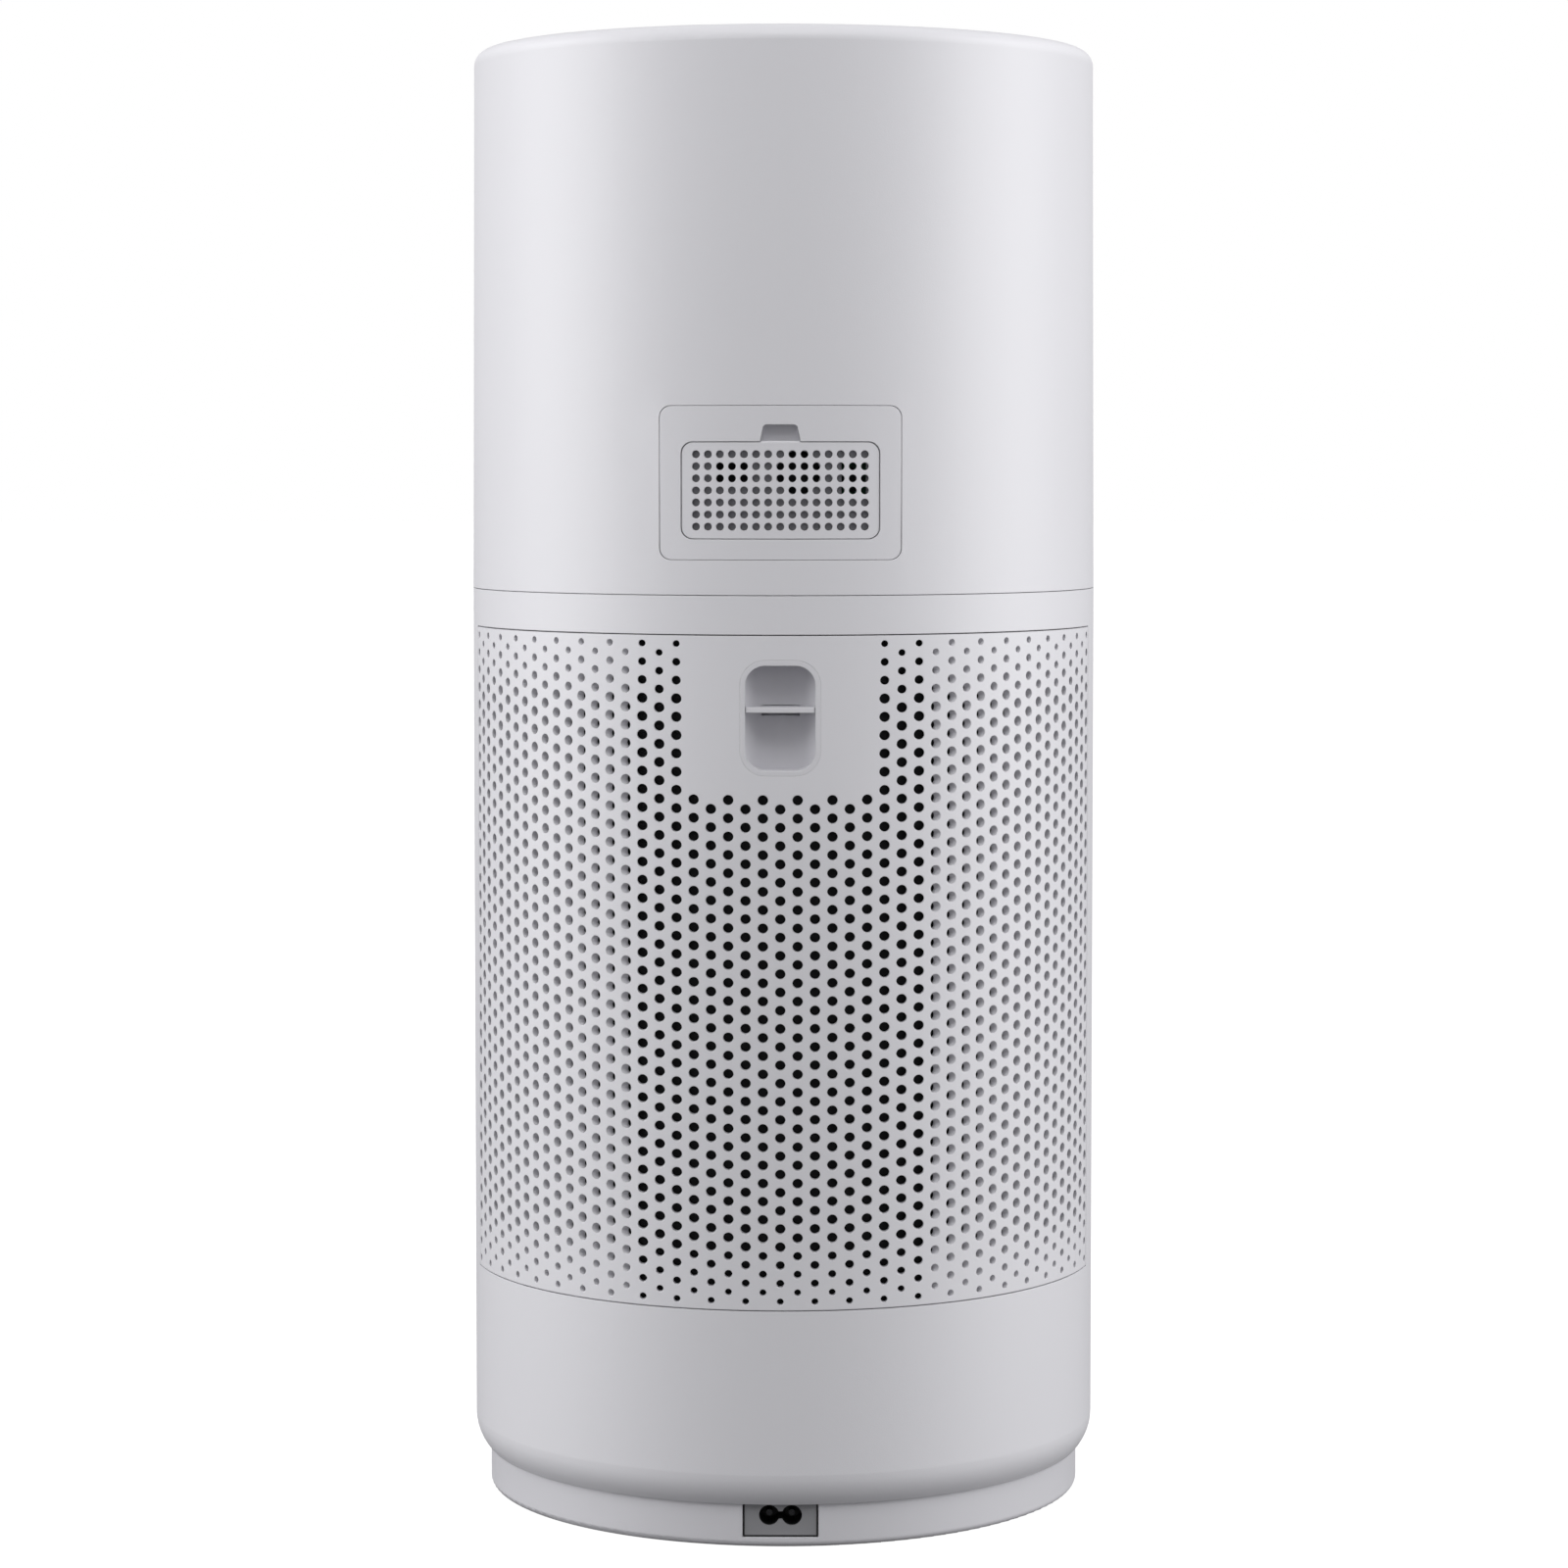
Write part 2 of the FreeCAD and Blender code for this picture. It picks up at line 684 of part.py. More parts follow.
def make_housing():
    lower = turned("lower_housing", [
        (SKIRT_RADIUS, S.skirt_height, SKIRT_ROUND), (S.body_radius, S.skirt_height + S.skirt_rise),
        (S.body_radius, SEAM - S.seam_gap / 2), (INNER_RADIUS, SEAM - S.seam_gap / 2),
        (INNER_RADIUS, DECK_UNDER), (LEDGE_RADIUS, DECK_UNDER),
        (LEDGE_RADIUS, OPENING_TOP), (INNER_RADIUS, OPENING_TOP),
        (INNER_RADIUS, BAY_UNDER), (LEDGE_RADIUS, BAY_UNDER),
        (LEDGE_RADIUS, BAY_UNDER - S.ledge_thickness), (INNER_RADIUS, BAY_UNDER - S.ledge_thickness),
        (INNER_RADIUS, S.skirt_height + S.skirt_rise, -SKIRT_ROUND),
        (SKIRT_RADIUS - S.housing_wall, S.skirt_height)])
    turn(lower, rectangle(INNER_RADIUS - PAST, S.opening_bottom, S.body_radius + PAST, OPENING_TOP),
         angle=2 * S.opening_half_angle, cut=True)

    duct_notch = rectangle(-S.duct_width / 2 - S.part_gap, -S.body_radius,
                           S.duct_width / 2 + S.part_gap, -DUCT_INNER + S.part_gap)
    bay = turned("filter_bay_floor", [
        (ZERO, BAY_UNDER), (PLATE_RADIUS, BAY_UNDER), (PLATE_RADIUS, BAY_TOP),
        (LOCATOR_INNER + S.locator_wall, BAY_TOP),
        (LOCATOR_INNER + S.locator_wall, BAY_TOP + S.locator_height),
        (LOCATOR_INNER, BAY_TOP + S.locator_height), (LOCATOR_INNER, BAY_TOP), (ZERO, BAY_TOP)])
    across = S.boss_circle * sine(45)
    leg = extrude(bay, "XY_Plane", S.boss_top, BAY_UNDER, (across, across, S.boss_radius))
    pilot = extrude(bay, "XY_Plane", S.boss_top, S.screw_seat + S.screw_length,
                    (across, across, S.screw_radius), cut=True)
    repeat_round(bay, 4, leg, pilot)
    extrude(bay, "XY_Plane", BAY_UNDER, BAY_TOP + S.locator_height, duct_notch, cut=True)

    deck = turned("fan_deck", [
        (S.eye_radius, DECK_UNDER), (PLATE_RADIUS, DECK_UNDER), (PLATE_RADIUS, DECK_TOP),
        (S.eye_radius, DECK_TOP)])
    extrude(deck, "XY_Plane", DECK_UNDER, DECK_TOP, duct_notch, cut=True)

    duct_low = S.base_spigot_top + S.loose_gap
    duct_top = TOP - S.chassis_drop - S.chassis_flare - S.duct_depth / 2
    duct = new_body("cable_duct")
    half = S.duct_width / 2
    extrude(duct, "XY_Plane", duct_low, duct_top, rectangle(-half, -DUCT_OUTER, half, -DUCT_INNER))
    extrude(duct, "XY_Plane", duct_low, duct_top,
            rectangle(-half + S.duct_wall, -DUCT_OUTER + S.duct_wall, half - S.duct_wall,
                      -DUCT_INNER - S.duct_wall), cut=True)

    strike_front = SLIDER_FRONT + S.part_gap + S.strike_thickness
    strike_low = OPENING_TOP - S.door_gap - S.part_gap - S.tongue_bite
    strike = new_body("latch_strike")
    extrude(strike, "XZ_Plane", strike_front - S.strike_thickness, strike_front,
            rectangle(-S.strike_width / 2, strike_low, S.strike_width / 2, DECK_UNDER))
    switch_front = FILTER_RADIUS + S.airway / 2
    switch = box("door_switch", (S.strike_width, S.strike_width + S.switch_width),
                 (switch_front - S.switch_height, switch_front), (DECK_UNDER - S.switch_height, DECK_UNDER))
    switch.Label = "door_switch"
    return [lower, bay, deck, duct, strike, switch]


def pleated_ring():
    """The folded media: a zigzag strip between two radii, closed on itself."""
    outer = PLEAT_OUTER.value
    inner = PLEAT_INNER.value
    count = int(S.pleat_count.value)
    shift = S.pleat_thickness.value

    def zigzag(outward):
        step = math.pi / count
        points = []
        for fold in range(2 * count):
            radius = outer - shift if fold % 2 else inner
            if outward:
                radius += shift
            angle = fold * step
            points.append(Vector(radius * math.cos(angle), radius * math.sin(angle), 0))
        return Part.Face(Part.makePolygon(points + points[:1]))

    strip = zigzag(True).cut(zigzag(False))
    strip.translate(Vector(0, 0, MEDIA_BOTTOM.value))
    return strip.extrude(Vector(0, 0, (MEDIA_TOP - MEDIA_BOTTOM).value))


def make_filter():
    bottom_cap = turned("filter_bottom_cap", [
        (ZERO, BAY_TOP), (FILTER_RADIUS, BAY_TOP), (FILTER_RADIUS, MEDIA_BOTTOM + S.cap_rim),
        (CAP_INNER, MEDIA_BOTTOM + S.cap_rim), (CAP_INNER, MEDIA_BOTTOM), (ZERO, MEDIA_BOTTOM)])
    neck = CORE_INNER - S.loose_gap
    top_cap = turned("filter_top_cap", [
        (neck - S.cap_wall, CAP_TOP), (neck - S.cap_wall, MEDIA_TOP - S.cap_rim),
        (neck, MEDIA_TOP - S.cap_rim),
        (neck, MEDIA_TOP), (CAP_INNER, MEDIA_TOP), (CAP_INNER, MEDIA_TOP - S.cap_rim),
        (FILTER_RADIUS, MEDIA_TOP - S.cap_rim), (FILTER_RADIUS, CAP_TOP)])
    media = free_shape("hepa_pleats", pleated_ring())

    def tube(name, inner, outer):
        return turned(name, rectangle(inner, MEDIA_BOTTOM, outer, MEDIA_TOP))

    net = tube("filter_net", NET_OUTER - S.net_thickness, NET_OUTER)
    carbon = tube("carbon_sleeve", CARBON_INNER, CARBON_INNER + S.carbon_thickness)
    core = tube("filter_core", CORE_INNER, CORE_INNER + S.core_wall)
    window_half = S.core_window_width / 2
    window = extrude(core, "XZ_Plane", CORE_INNER - PAST, CORE_INNER + S.core_wall + PAST,
                     rectangle(-window_half, MEDIA_BOTTOM + S.core_window_width,
                               window_half, MEDIA_TOP - S.core_window_width), cut=True)
    repeat_round(core, S.core_windows, window)
    seal = turned("filter_seal", rectangle(neck, CAP_TOP, neck + S.seal_width, DECK_UNDER))
    tab = turned("filter_pull_tab",
                 rectangle(FILTER_RADIUS, CAP_TOP - S.tab_length, FILTER_RADIUS + S.tab_thickness, CAP_TOP),
                 angle=S.tab_width / FILTER_RADIUS * ARC_DEGREES)
    return [bottom_cap, top_cap, media, net, carbon, core, seal, tab]


def end_share(row, rows):
    """The holes shrink towards both ends of a column."""
    nearest = min(row, rows - 1 - row)
    return PERFORATION_ENDS[nearest] if nearest < len(PERFORATION_ENDS) else 1


def door_drills():
    """Straight-drawn mould pins: one group drawn to the rear and one group to each side."""
    radius = S.body_radius.value
    pitch = S.hole_pitch.value
    centre_columns = 8
    centre_half = (centre_columns + 0.5) * pitch
    centre_angle = math.degrees(math.asin(centre_half / radius))
    side_angle = (centre_angle + S.opening_half_angle.value) / 2
    side_chord = 2 * radius * math.sin(math.radians(S.opening_half_angle.value - side_angle))
    side_columns = int(side_chord / pitch)
    lowest = S.opening_bottom.value + S.hole_margin.value
    rise = S.hole_rise.value
    tall_rows = 1 + round((S.opening_height.value - 2 * S.hole_margin.value) / rise)
    plain_bottom = (OPENING_TOP - S.plain_drop).value
    plain_half = S.plain_width.value / 2
    reach = 2 * S.cup_depth.value

    columns = [(0, column * pitch, column) for column in range(-centre_columns, centre_columns + 1)]
    for side in (-1, 1):
        for step in range(side_columns):
            across = (step - (side_columns - 1) / 2) * pitch
            columns.append((side * side_angle, across * side, centre_columns + 1 + step))
    drills = []
    for angle, across, column in columns:
        turned_by = math.radians(angle)
        outward = Vector(math.sin(turned_by), math.cos(turned_by), 0)
        sideways = Vector(math.cos(turned_by), -math.sin(turned_by), 0)
        short = column % 2
        rows = tall_rows - short
        for row in range(rows):
            height = lowest + (row + short / 2) * rise
            if angle == 0 and abs(across) < plain_half and height > plain_bottom:
                continue
            start = outward * (radius - reach) + sideways * across + Vector(0, 0, height)
            drill_radius = S.hole_radius.value * end_share(row, rows)
            drills.append(Part.makeCylinder(drill_radius, 2 * reach, start, outward))
    return Part.makeCompound(drills)


def cup_prism(name, grow):
    """The finger cup's rounded outline, drawn through the door from front to back."""
    return extruded(name, "XZ_Plane", CUP_BACK, S.body_radius + PAST,
                    rounded(ZERO, CUP_CENTRE, S.cup_width + 2 * grow, S.cup_height + 2 * grow,
                            S.cup_corner + grow))


def make_door():
    low = S.opening_bottom + S.door_gap
    high = OPENING_TOP - S.door_gap
    sweep = 2 * (S.opening_half_angle - S.door_gap / S.body_radius * ARC_DEGREES)
    blank = turned("door_blank", rectangle(DOOR_INNER, low, S.body_radius, high), angle=sweep)
    plate = combine("Cut", "door_plate", blank, cup_prism("cup_hole", S.cup_wall))
    door = combine("Cut", "filter_door", plate, free_shape("door_drills", door_drills()))

    cylinder = upright("door_cylinder", S.body_radius, low, high)
    cup_block = combine("MultiCommon", "cup_block", cup_prism("cup_outer", S.cup_wall), cylinder)
    scoop = upright("scoop", S.scoop_radius, low, high, y=SCOOP_CENTRE)
    hollow = combine("MultiCommon", "cup_hollow", cup_prism("cup_inner", ZERO), scoop)
    slit_half = S.neck_width / 2 + S.bar_gap
    slit = box("latch_slit", (-slit_half, slit_half),
               (CUP_BACK - OVERLAP, SCOOP_CENTRE - S.scoop_radius / 2),
               (BAR_CENTRE - S.bar_thickness / 2 - S.latch_travel - S.bar_gap,
                BAR_CENTRE + S.bar_thickness / 2 + S.bar_gap))
    cup = combine("Cut", "finger_cup", cup_block, combine("MultiFuse", "cup_cuts", hollow, slit))

    screen_blank = turned("screen_blank",
                          rectangle(SCREEN_OUTER - S.screen_thickness, low + S.loose_gap,
                                    SCREEN_OUTER, high - S.loose_gap),
                          angle=sweep - S.loose_gap)
    room = 2 * (S.cup_wall + S.loose_gap)
    cup_room = box("cup_room", spread(ZERO, S.cup_width + room), (CUP_BACK, S.body_radius),
                   spread(CUP_CENTRE, S.cup_height + room))
    screen = combine("Cut", "door_screen", screen_blank, cup_room)
    return [door, cup, screen]


def coil(x, y, low):
    """A compression spring of square wire."""
    half = S.spring_wire.value / 2
    mean_radius = S.spring_radius.value - half
    height = S.spring_length.value - 2 * half
    helix = Part.makeHelix(height / S.spring_turns.value, height, mean_radius)
    corners = [(-half, -half), (half, -half), (half, half), (-half, half), (-half, -half)]
    section = Part.makePolygon([Vector(mean_radius + across, 0, up) for across, up in corners])
    spring = Part.Wire(helix.Edges).makePipeShell([section], True, True)
    spring.translate(Vector(x, y, low + half))
    return spring


def make_latch():
    bar_low = BAR_CENTRE - S.bar_thickness / 2
    bar_high = BAR_CENTRE + S.bar_thickness / 2
    half = S.latch_width / 2
    slider_low = bar_low - S.latch_tail
    shoulder = BAR_CENTRE + S.latch_head
    plate = box("latch_plate", (-half, half), (SLIDER_BACK, SLIDER_FRONT), (slider_low, shoulder))
    tongue = box("latch_tongue", spread(ZERO, S.tongue_width), (SLIDER_BACK, SLIDER_FRONT),
                 (shoulder - OVERLAP, OPENING_TOP - S.door_gap - S.part_gap))
    neck = box("latch_neck", spread(ZERO, S.neck_width), (SLIDER_BACK, CUP_BACK + 2 * S.cup_wall),
               (bar_low, bar_high))
    bar_half = S.cup_width / 2 - S.bar_gap
    bar_box = box("bar_box", (-bar_half, bar_half), (CUP_BACK, S.body_radius), (bar_low, bar_high))
    bar = combine("MultiCommon", "latch_bar", bar_box,
                  upright("bar_scoop", S.scoop_radius - S.bar_gap, bar_low - PAST, bar_high + PAST,
                          y=SCOOP_CENTRE),
                  upright("bar_front", S.body_radius - S.bar_setback, bar_low - PAST, bar_high + PAST))
    slider = combine("MultiFuse", "latch_slider", plate, tongue, neck, bar)

    channel_half = half + S.part_gap
    channel_back = SLIDER_BACK - S.part_gap
    spring_low = slider_low - S.spring_length
    guide_block = box("guide_block", (-channel_half - S.guide_wall, channel_half + S.guide_wall),
                      (channel_back - S.guide_wall, CUP_BACK),
                      (spring_low - S.guide_wall, shoulder - S.latch_travel))
    channel = box("guide_channel", (-channel_half, channel_half), (channel_back, CUP_BACK + OVERLAP),
                  (spring_low, shoulder + OVERLAP))
    guide = combine("Cut", "latch_guide", guide_block, channel)
    middle = ((SLIDER_FRONT + SLIDER_BACK) / 2).value
    springs = free_shape("latch_springs", Part.makeCompound(
        [coil(side * half.value / 2, middle, spring_low.value) for side in (-1, 1)]))
    return [slider, guide, springs]


def curved_plate(name, width, height, corner, centre, inner, outer):
    """A rounded rectangle of a cylindrical wall, seen square-on from the rear."""
    low = centre - height
    high = centre + height
    plate = extruded(name, "XZ_Plane", inner / 2, outer + PAST, rounded(ZERO, centre, width, height, corner))
    turn(plate, rectangle(ZERO, low, inner, high), rectangle(outer, low, 2 * outer, high), cut=True)
    return plate


def make_sensor():
    corner = S.bezel_corner
    face = curved_plate("bezel_face_plate", S.bezel_width, S.bezel_height, corner, BEZEL_CENTRE,
                        BEZEL_INNER, BEZEL_OUTER)
    flange = curved_plate("bezel_flange_plate", S.bezel_width + 2 * S.flange_reach,
                          S.bezel_height + 2 * S.flange_reach, corner, BEZEL_CENTRE,
                          FLANGE_INNER, BEZEL_INNER)
    gap = 2 * S.lid_travel_gap
    lid_hole = extruded("lid_hole", "XZ_Plane", BEZEL_INNER / 2, BEZEL_OUTER + PAST,
                        rounded(ZERO, LID_CENTRE, S.lid_width + gap, S.lid_height + gap, corner))
    seat = 2 * S.lid_seat
    seat_hole = extruded("seat_hole", "XZ_Plane", FLANGE_INNER / 2, BEZEL_OUTER + PAST,
                         rounded(ZERO, LID_CENTRE, S.lid_width - seat, S.lid_height - seat, corner))
    lid_top = LID_CENTRE + S.lid_height / 2
    notch_low = lid_top - OVERLAP
    notch_high = lid_top + S.notch_height
    notch_base = S.notch_width / 2
    notch_top = notch_base - S.notch_taper
    notch = extruded("notch", "XZ_Plane", BEZEL_OUTER - S.notch_depth, BEZEL_OUTER + PAST, [
        (-notch_base, notch_low), (notch_base, notch_low),
        (notch_top, notch_high - S.notch_corner, S.notch_corner), (notch_top - S.notch_corner, notch_high),
        (-notch_top + S.notch_corner, notch_high, S.notch_corner),
        (-notch_top, notch_high - S.notch_corner)])
    open_face = combine("Cut", "bezel_open_face", face, lid_hole)
    open_flange = combine("Cut", "bezel_open_flange", flange, seat_hole)
    joined = combine("MultiFuse", "bezel_joined", open_face, open_flange)
    bezel = combine("Cut", "sensor_bezel", joined, notch)

    lid_blank = curved_plate("lid_blank", S.lid_width, S.lid_height, corner, LID_CENTRE,
                             LID_INNER, LID_OUTER)
    tab_half = notch_base - S.lid_tab_gap
    tab = box("lid_tab", (-tab_half, tab_half), (LID_INNER, LID_OUTER - S.part_gap),
              (lid_top - OVERLAP, lid_top + S.lid_tab_height))
    pitch = S.lid_hole_pitch.value
    drills = []
    for column in range(LID_COLUMNS):
        for row in range(LID_ROWS):
            x = (column - (LID_COLUMNS - 1) / 2) * pitch
            z = LID_CENTRE.value + (row - (LID_ROWS - 1) / 2) * pitch
            start = Vector(x, LID_INNER.value / 2, z)
            length = LID_INNER.value
            drills.append(Part.makeCylinder(S.lid_hole_radius.value, length, start, Vector(0, 1, 0)))
    lid = combine("Cut", "sensor_lid", combine("MultiFuse", "lid_joined", lid_blank, tab),
                  free_shape("lid_drills", Part.makeCompound(drills)))

    back = CASING_OUTER + S.loose_gap
    half = S.lid_width / 2 - S.lid_seat - S.part_gap
    low = LID_CENTRE - S.lid_height / 2 + S.lid_seat + S.part_gap
    high = LID_CENTRE + S.lid_height / 2 - S.lid_seat - S.part_gap
    wall = S.bracket_wall
    block = extruded("bracket_box", "XZ_Plane", back, S.body_radius,
                     rounded(ZERO, LID_CENTRE, 2 * half, high - low, corner))
    room = extruded("bracket_room", "XZ_Plane", back + wall, S.body_radius,
                    rounded(ZERO, LID_CENTRE, 2 * (half - wall), high - low - 2 * wall, wall))
    outside = combine("MultiCommon", "bracket_outside", block,
                      upright("bracket_front", BRACKET_OUTER, low - PAST, high + PAST))
    inside = combine("MultiCommon", "bracket_inside", room,
                     upright("bracket_back", BRACKET_OUTER - wall, low - PAST, high + PAST))
    squares = [rectangle(as_size(left), LID_CENTRE + bottom, as_size(right), LID_CENTRE + top)
               for left, right, bottom, top in SQUARE_PORTS]
    ports = extruded("bracket_ports", "XZ_Plane", back + wall + S.loose_gap, BRACKET_OUTER + PAST,
                     (as_size(ROUND_PORT_PLACE[0]), LID_CENTRE + ROUND_PORT_PLACE[1], S.gas_port_radius),
                     *squares)
    cuts = combine("MultiFuse", "bracket_cuts", inside, ports)
    bracket = combine("Cut", "sensor_bracket", outside, cuts)

    board_back = back + wall
    board_front = board_back + S.board_thickness
    edge = wall + S.loose_gap
    board = box("sensor_board", (-half + edge, half - edge), (board_back, board_front),
                (low + edge, high - edge))
    dust = box("dust_sensor", spread(DUST_SENSOR_PLACE[0], S.dust_sensor_width),
               (board_front, board_front + S.dust_sensor_depth),
               spread(LID_CENTRE + DUST_SENSOR_PLACE[1], S.dust_sensor_height))
    gas = extruded("gas_sensor", "XZ_Plane", board_front, board_front + S.gas_sensor_height,
                   (as_size(GAS_SENSOR_PLACE[0]), LID_CENTRE + GAS_SENSOR_PLACE[1], S.gas_sensor_radius))
    for part in (board, dust):
        part.Label = part.Name
    return [bezel, lid, bracket, board, dust, gas]


def blade_outline(inner, outer, sweep, thickness):
    """A backward-curved blade section from an inner to an outer radius, starting on the +X axis."""
    sink = thickness / 2
    tip_x = outer * cosine(sweep)
    tip_y = outer * sine(sweep)
    return [(inner, -sink, outer), (tip_x + sink, tip_y - sink),
            (tip_x - sink, tip_y + sink, -outer), (inner, sink)]


def make_fan():
    guard_top = DECK_UNDER + S.guard_thickness
    half_bar = S.guard_thickness / 2
    guard = turned("intake_guard",
                   rectangle(S.eye_radius - S.guard_thickness, DECK_UNDER, S.eye_radius, guard_top),
                   rectangle(S.guard_ring - half_bar, DECK_UNDER, S.guard_ring + half_bar, guard_top),
                   rectangle(ZERO, DECK_UNDER, S.guard_hub, guard_top))
    spoke = extrude(guard, "XY_Plane", DECK_UNDER, guard_top,
                    rectangle(S.guard_hub - OVERLAP, -half_bar, S.eye_radius - OVERLAP, half_bar))
    repeat_round(guard, S.guard_spokes, spoke)

    throat = S.eye_radius - 7
    foot_top = DECK_TOP + S.cone_wall
    cone = turned("fan_inlet_cone", [
        (S.eye_radius, DECK_TOP), (S.eye_radius + S.cone_foot, DECK_TOP),
        (S.eye_radius + S.cone_foot, foot_top),
        (S.eye_radius + S.cone_wall, foot_top), (throat + 3.5, DECK_TOP + 7), (throat + 1.5, EYE_BOTTOM + 4),
        (throat, EYE_BOTTOM + 4), (throat + 1.8, DECK_TOP + 6)])

    eye = S.eye_radius - 3
    shroud = turned("impeller_shroud", [
        (eye, EYE_BOTTOM), (eye + 2, EYE_BOTTOM), (eye + 2, SHROUD_TOP - S.impeller_plate),
        (IMPELLER_RADIUS, SHROUD_TOP - S.impeller_plate), (IMPELLER_RADIUS, SHROUD_TOP), (eye, SHROUD_TOP)])
    wheel = turned("impeller_wheel", [
        (S.shaft_radius, WHEEL_PLATE - S.wheel_hub_height),
        (S.wheel_hub_radius, WHEEL_PLATE - S.wheel_hub_height),
        (S.wheel_hub_radius, WHEEL_PLATE), (IMPELLER_RADIUS, WHEEL_PLATE),
        (IMPELLER_RADIUS, ROTOR_BOTTOM), (S.shaft_radius, ROTOR_BOTTOM)])
    blade = extrude(wheel, "XY_Plane", SHROUD_TOP, WHEEL_PLATE,
                    blade_outline(S.blade_inner_radius, IMPELLER_RADIUS - S.blade_thickness, S.blade_sweep,
                                  S.blade_thickness))
    repeat_round(wheel, S.blade_count, blade)

    hub_low = WHEEL_PLATE - S.wheel_hub_height
    shaft = extruded("motor_shaft", "XY_Plane", hub_low - S.shaft_overhang, HUB_PLATE - 1,
                     (ZERO, ZERO, S.shaft_radius))
    nut = turned("impeller_nut",
                 rectangle(S.shaft_radius, hub_low - S.nut_height, S.shaft_radius + S.nut_wall, hub_low))

    rotor_floor = ROTOR_BOTTOM + S.rotor_wall
    rotor_inner = S.rotor_radius - S.rotor_wall
    can = turned("rotor_can", [
        (S.shaft_radius, ROTOR_BOTTOM), (S.rotor_radius, ROTOR_BOTTOM),
        (S.rotor_radius, ROTOR_BOTTOM + S.rotor_height), (rotor_inner, ROTOR_BOTTOM + S.rotor_height),
        (rotor_inner, rotor_floor), (S.shaft_radius, rotor_floor)])
    magnet_inner = rotor_inner - S.magnet_thickness
    magnets = turned("rotor_magnets", rectangle(magnet_inner, rotor_floor + 1, rotor_inner,
                                                ROTOR_BOTTOM + S.rotor_height - 2))

    tube_outer = S.bearing_radius + S.tube_wall
    stator_radius = magnet_inner - S.air_gap
    core_low = STATOR_CENTRE - S.stator_height / 2
    core_high = STATOR_CENTRE + S.stator_height / 2
    core = turned("stator_core", rectangle(tube_outer, core_low, tube_outer + 4, core_high))
    tooth = extrude(core, "XY_Plane", core_low, core_high,
                    rectangle(tube_outer + 2, -S.tooth_width / 2, stator_radius - 1.5, S.tooth_width / 2))
    tip = extrude(core, "XY_Plane", core_low, core_high,
                  rectangle(stator_radius - 2.5, -S.coil_width / 2, stator_radius - 0.6, S.coil_width / 2))
    repeat_round(core, S.slot_count, tooth, tip)
    coils = new_body("stator_coils")
    winding = extrude(coils, "XY_Plane", core_low - S.coil_overhang, core_high + S.coil_overhang,
                      rectangle(tube_outer + 5, -S.coil_width / 2, stator_radius - 2.6,
                                S.coil_width / 2))
    bobbin = extrude(coils, "XY_Plane", core_low, core_high,
                     rectangle(tube_outer + 4, -S.tooth_width / 2, stator_radius, S.tooth_width / 2),
                     cut=True)
    repeat_round(coils, S.slot_count, winding, bobbin)

    bearing_inner = S.shaft_radius + S.shaft_gap
    tube_low = rotor_floor + 1.5
    lower_seat = tube_low + 1
    upper_seat = HUB_PLATE - 1 - S.bearing_height
    bearings = turned("bearings",
                      *[rectangle(bearing_inner, seat, S.bearing_radius, seat + S.bearing_height)
                        for seat in (lower_seat, upper_seat)])
    bracket = turned("motor_bracket", [
        (S.bearing_radius, tube_low), (tube_outer, tube_low), (tube_outer, BRACKET_UNDER),
        (S.bracket_radius, BRACKET_UNDER), (S.bracket_radius, HUB_PLATE), (S.bearing_radius, HUB_PLATE)])
    board_low = core_high + S.coil_overhang + 1
    board = turned("motor_board",
                   rectangle(tube_outer, board_low, stator_radius, board_low + S.board_thickness))

    casing = turned("fan_casing",
                    [(CASING_INNER, DECK_TOP), (CASING_OUTER + S.casing_foot, DECK_TOP),
                     (CASING_OUTER + S.casing_foot, DECK_TOP + 3), (CASING_OUTER, DECK_TOP + 3),
                     (CASING_OUTER, CASING_TOP), (CASING_INNER, CASING_TOP)],
                    [(ZERO, HUB_PLATE), (S.hub_radius, HUB_PLATE), (S.hub_radius, CASING_TOP),
                     (S.hub_radius - S.casing_wall, CASING_TOP),
                     (S.hub_radius - S.casing_wall, HUB_PLATE + 3),
                     (ZERO, HUB_PLATE + 3)])
    vane = extrude(casing, "XY_Plane", HUB_PLATE + 4, CASING_TOP - 4,
                   blade_outline(S.hub_radius - OVERLAP, CASING_INNER + S.loose_gap, S.vane_sweep,
                                 S.vane_thickness))
    repeat_round(casing, S.vane_count, vane)
    return [guard, cone, shroud, wheel, shaft, nut, can, magnets, core, coils, bearings, bracket, board,
            casing]


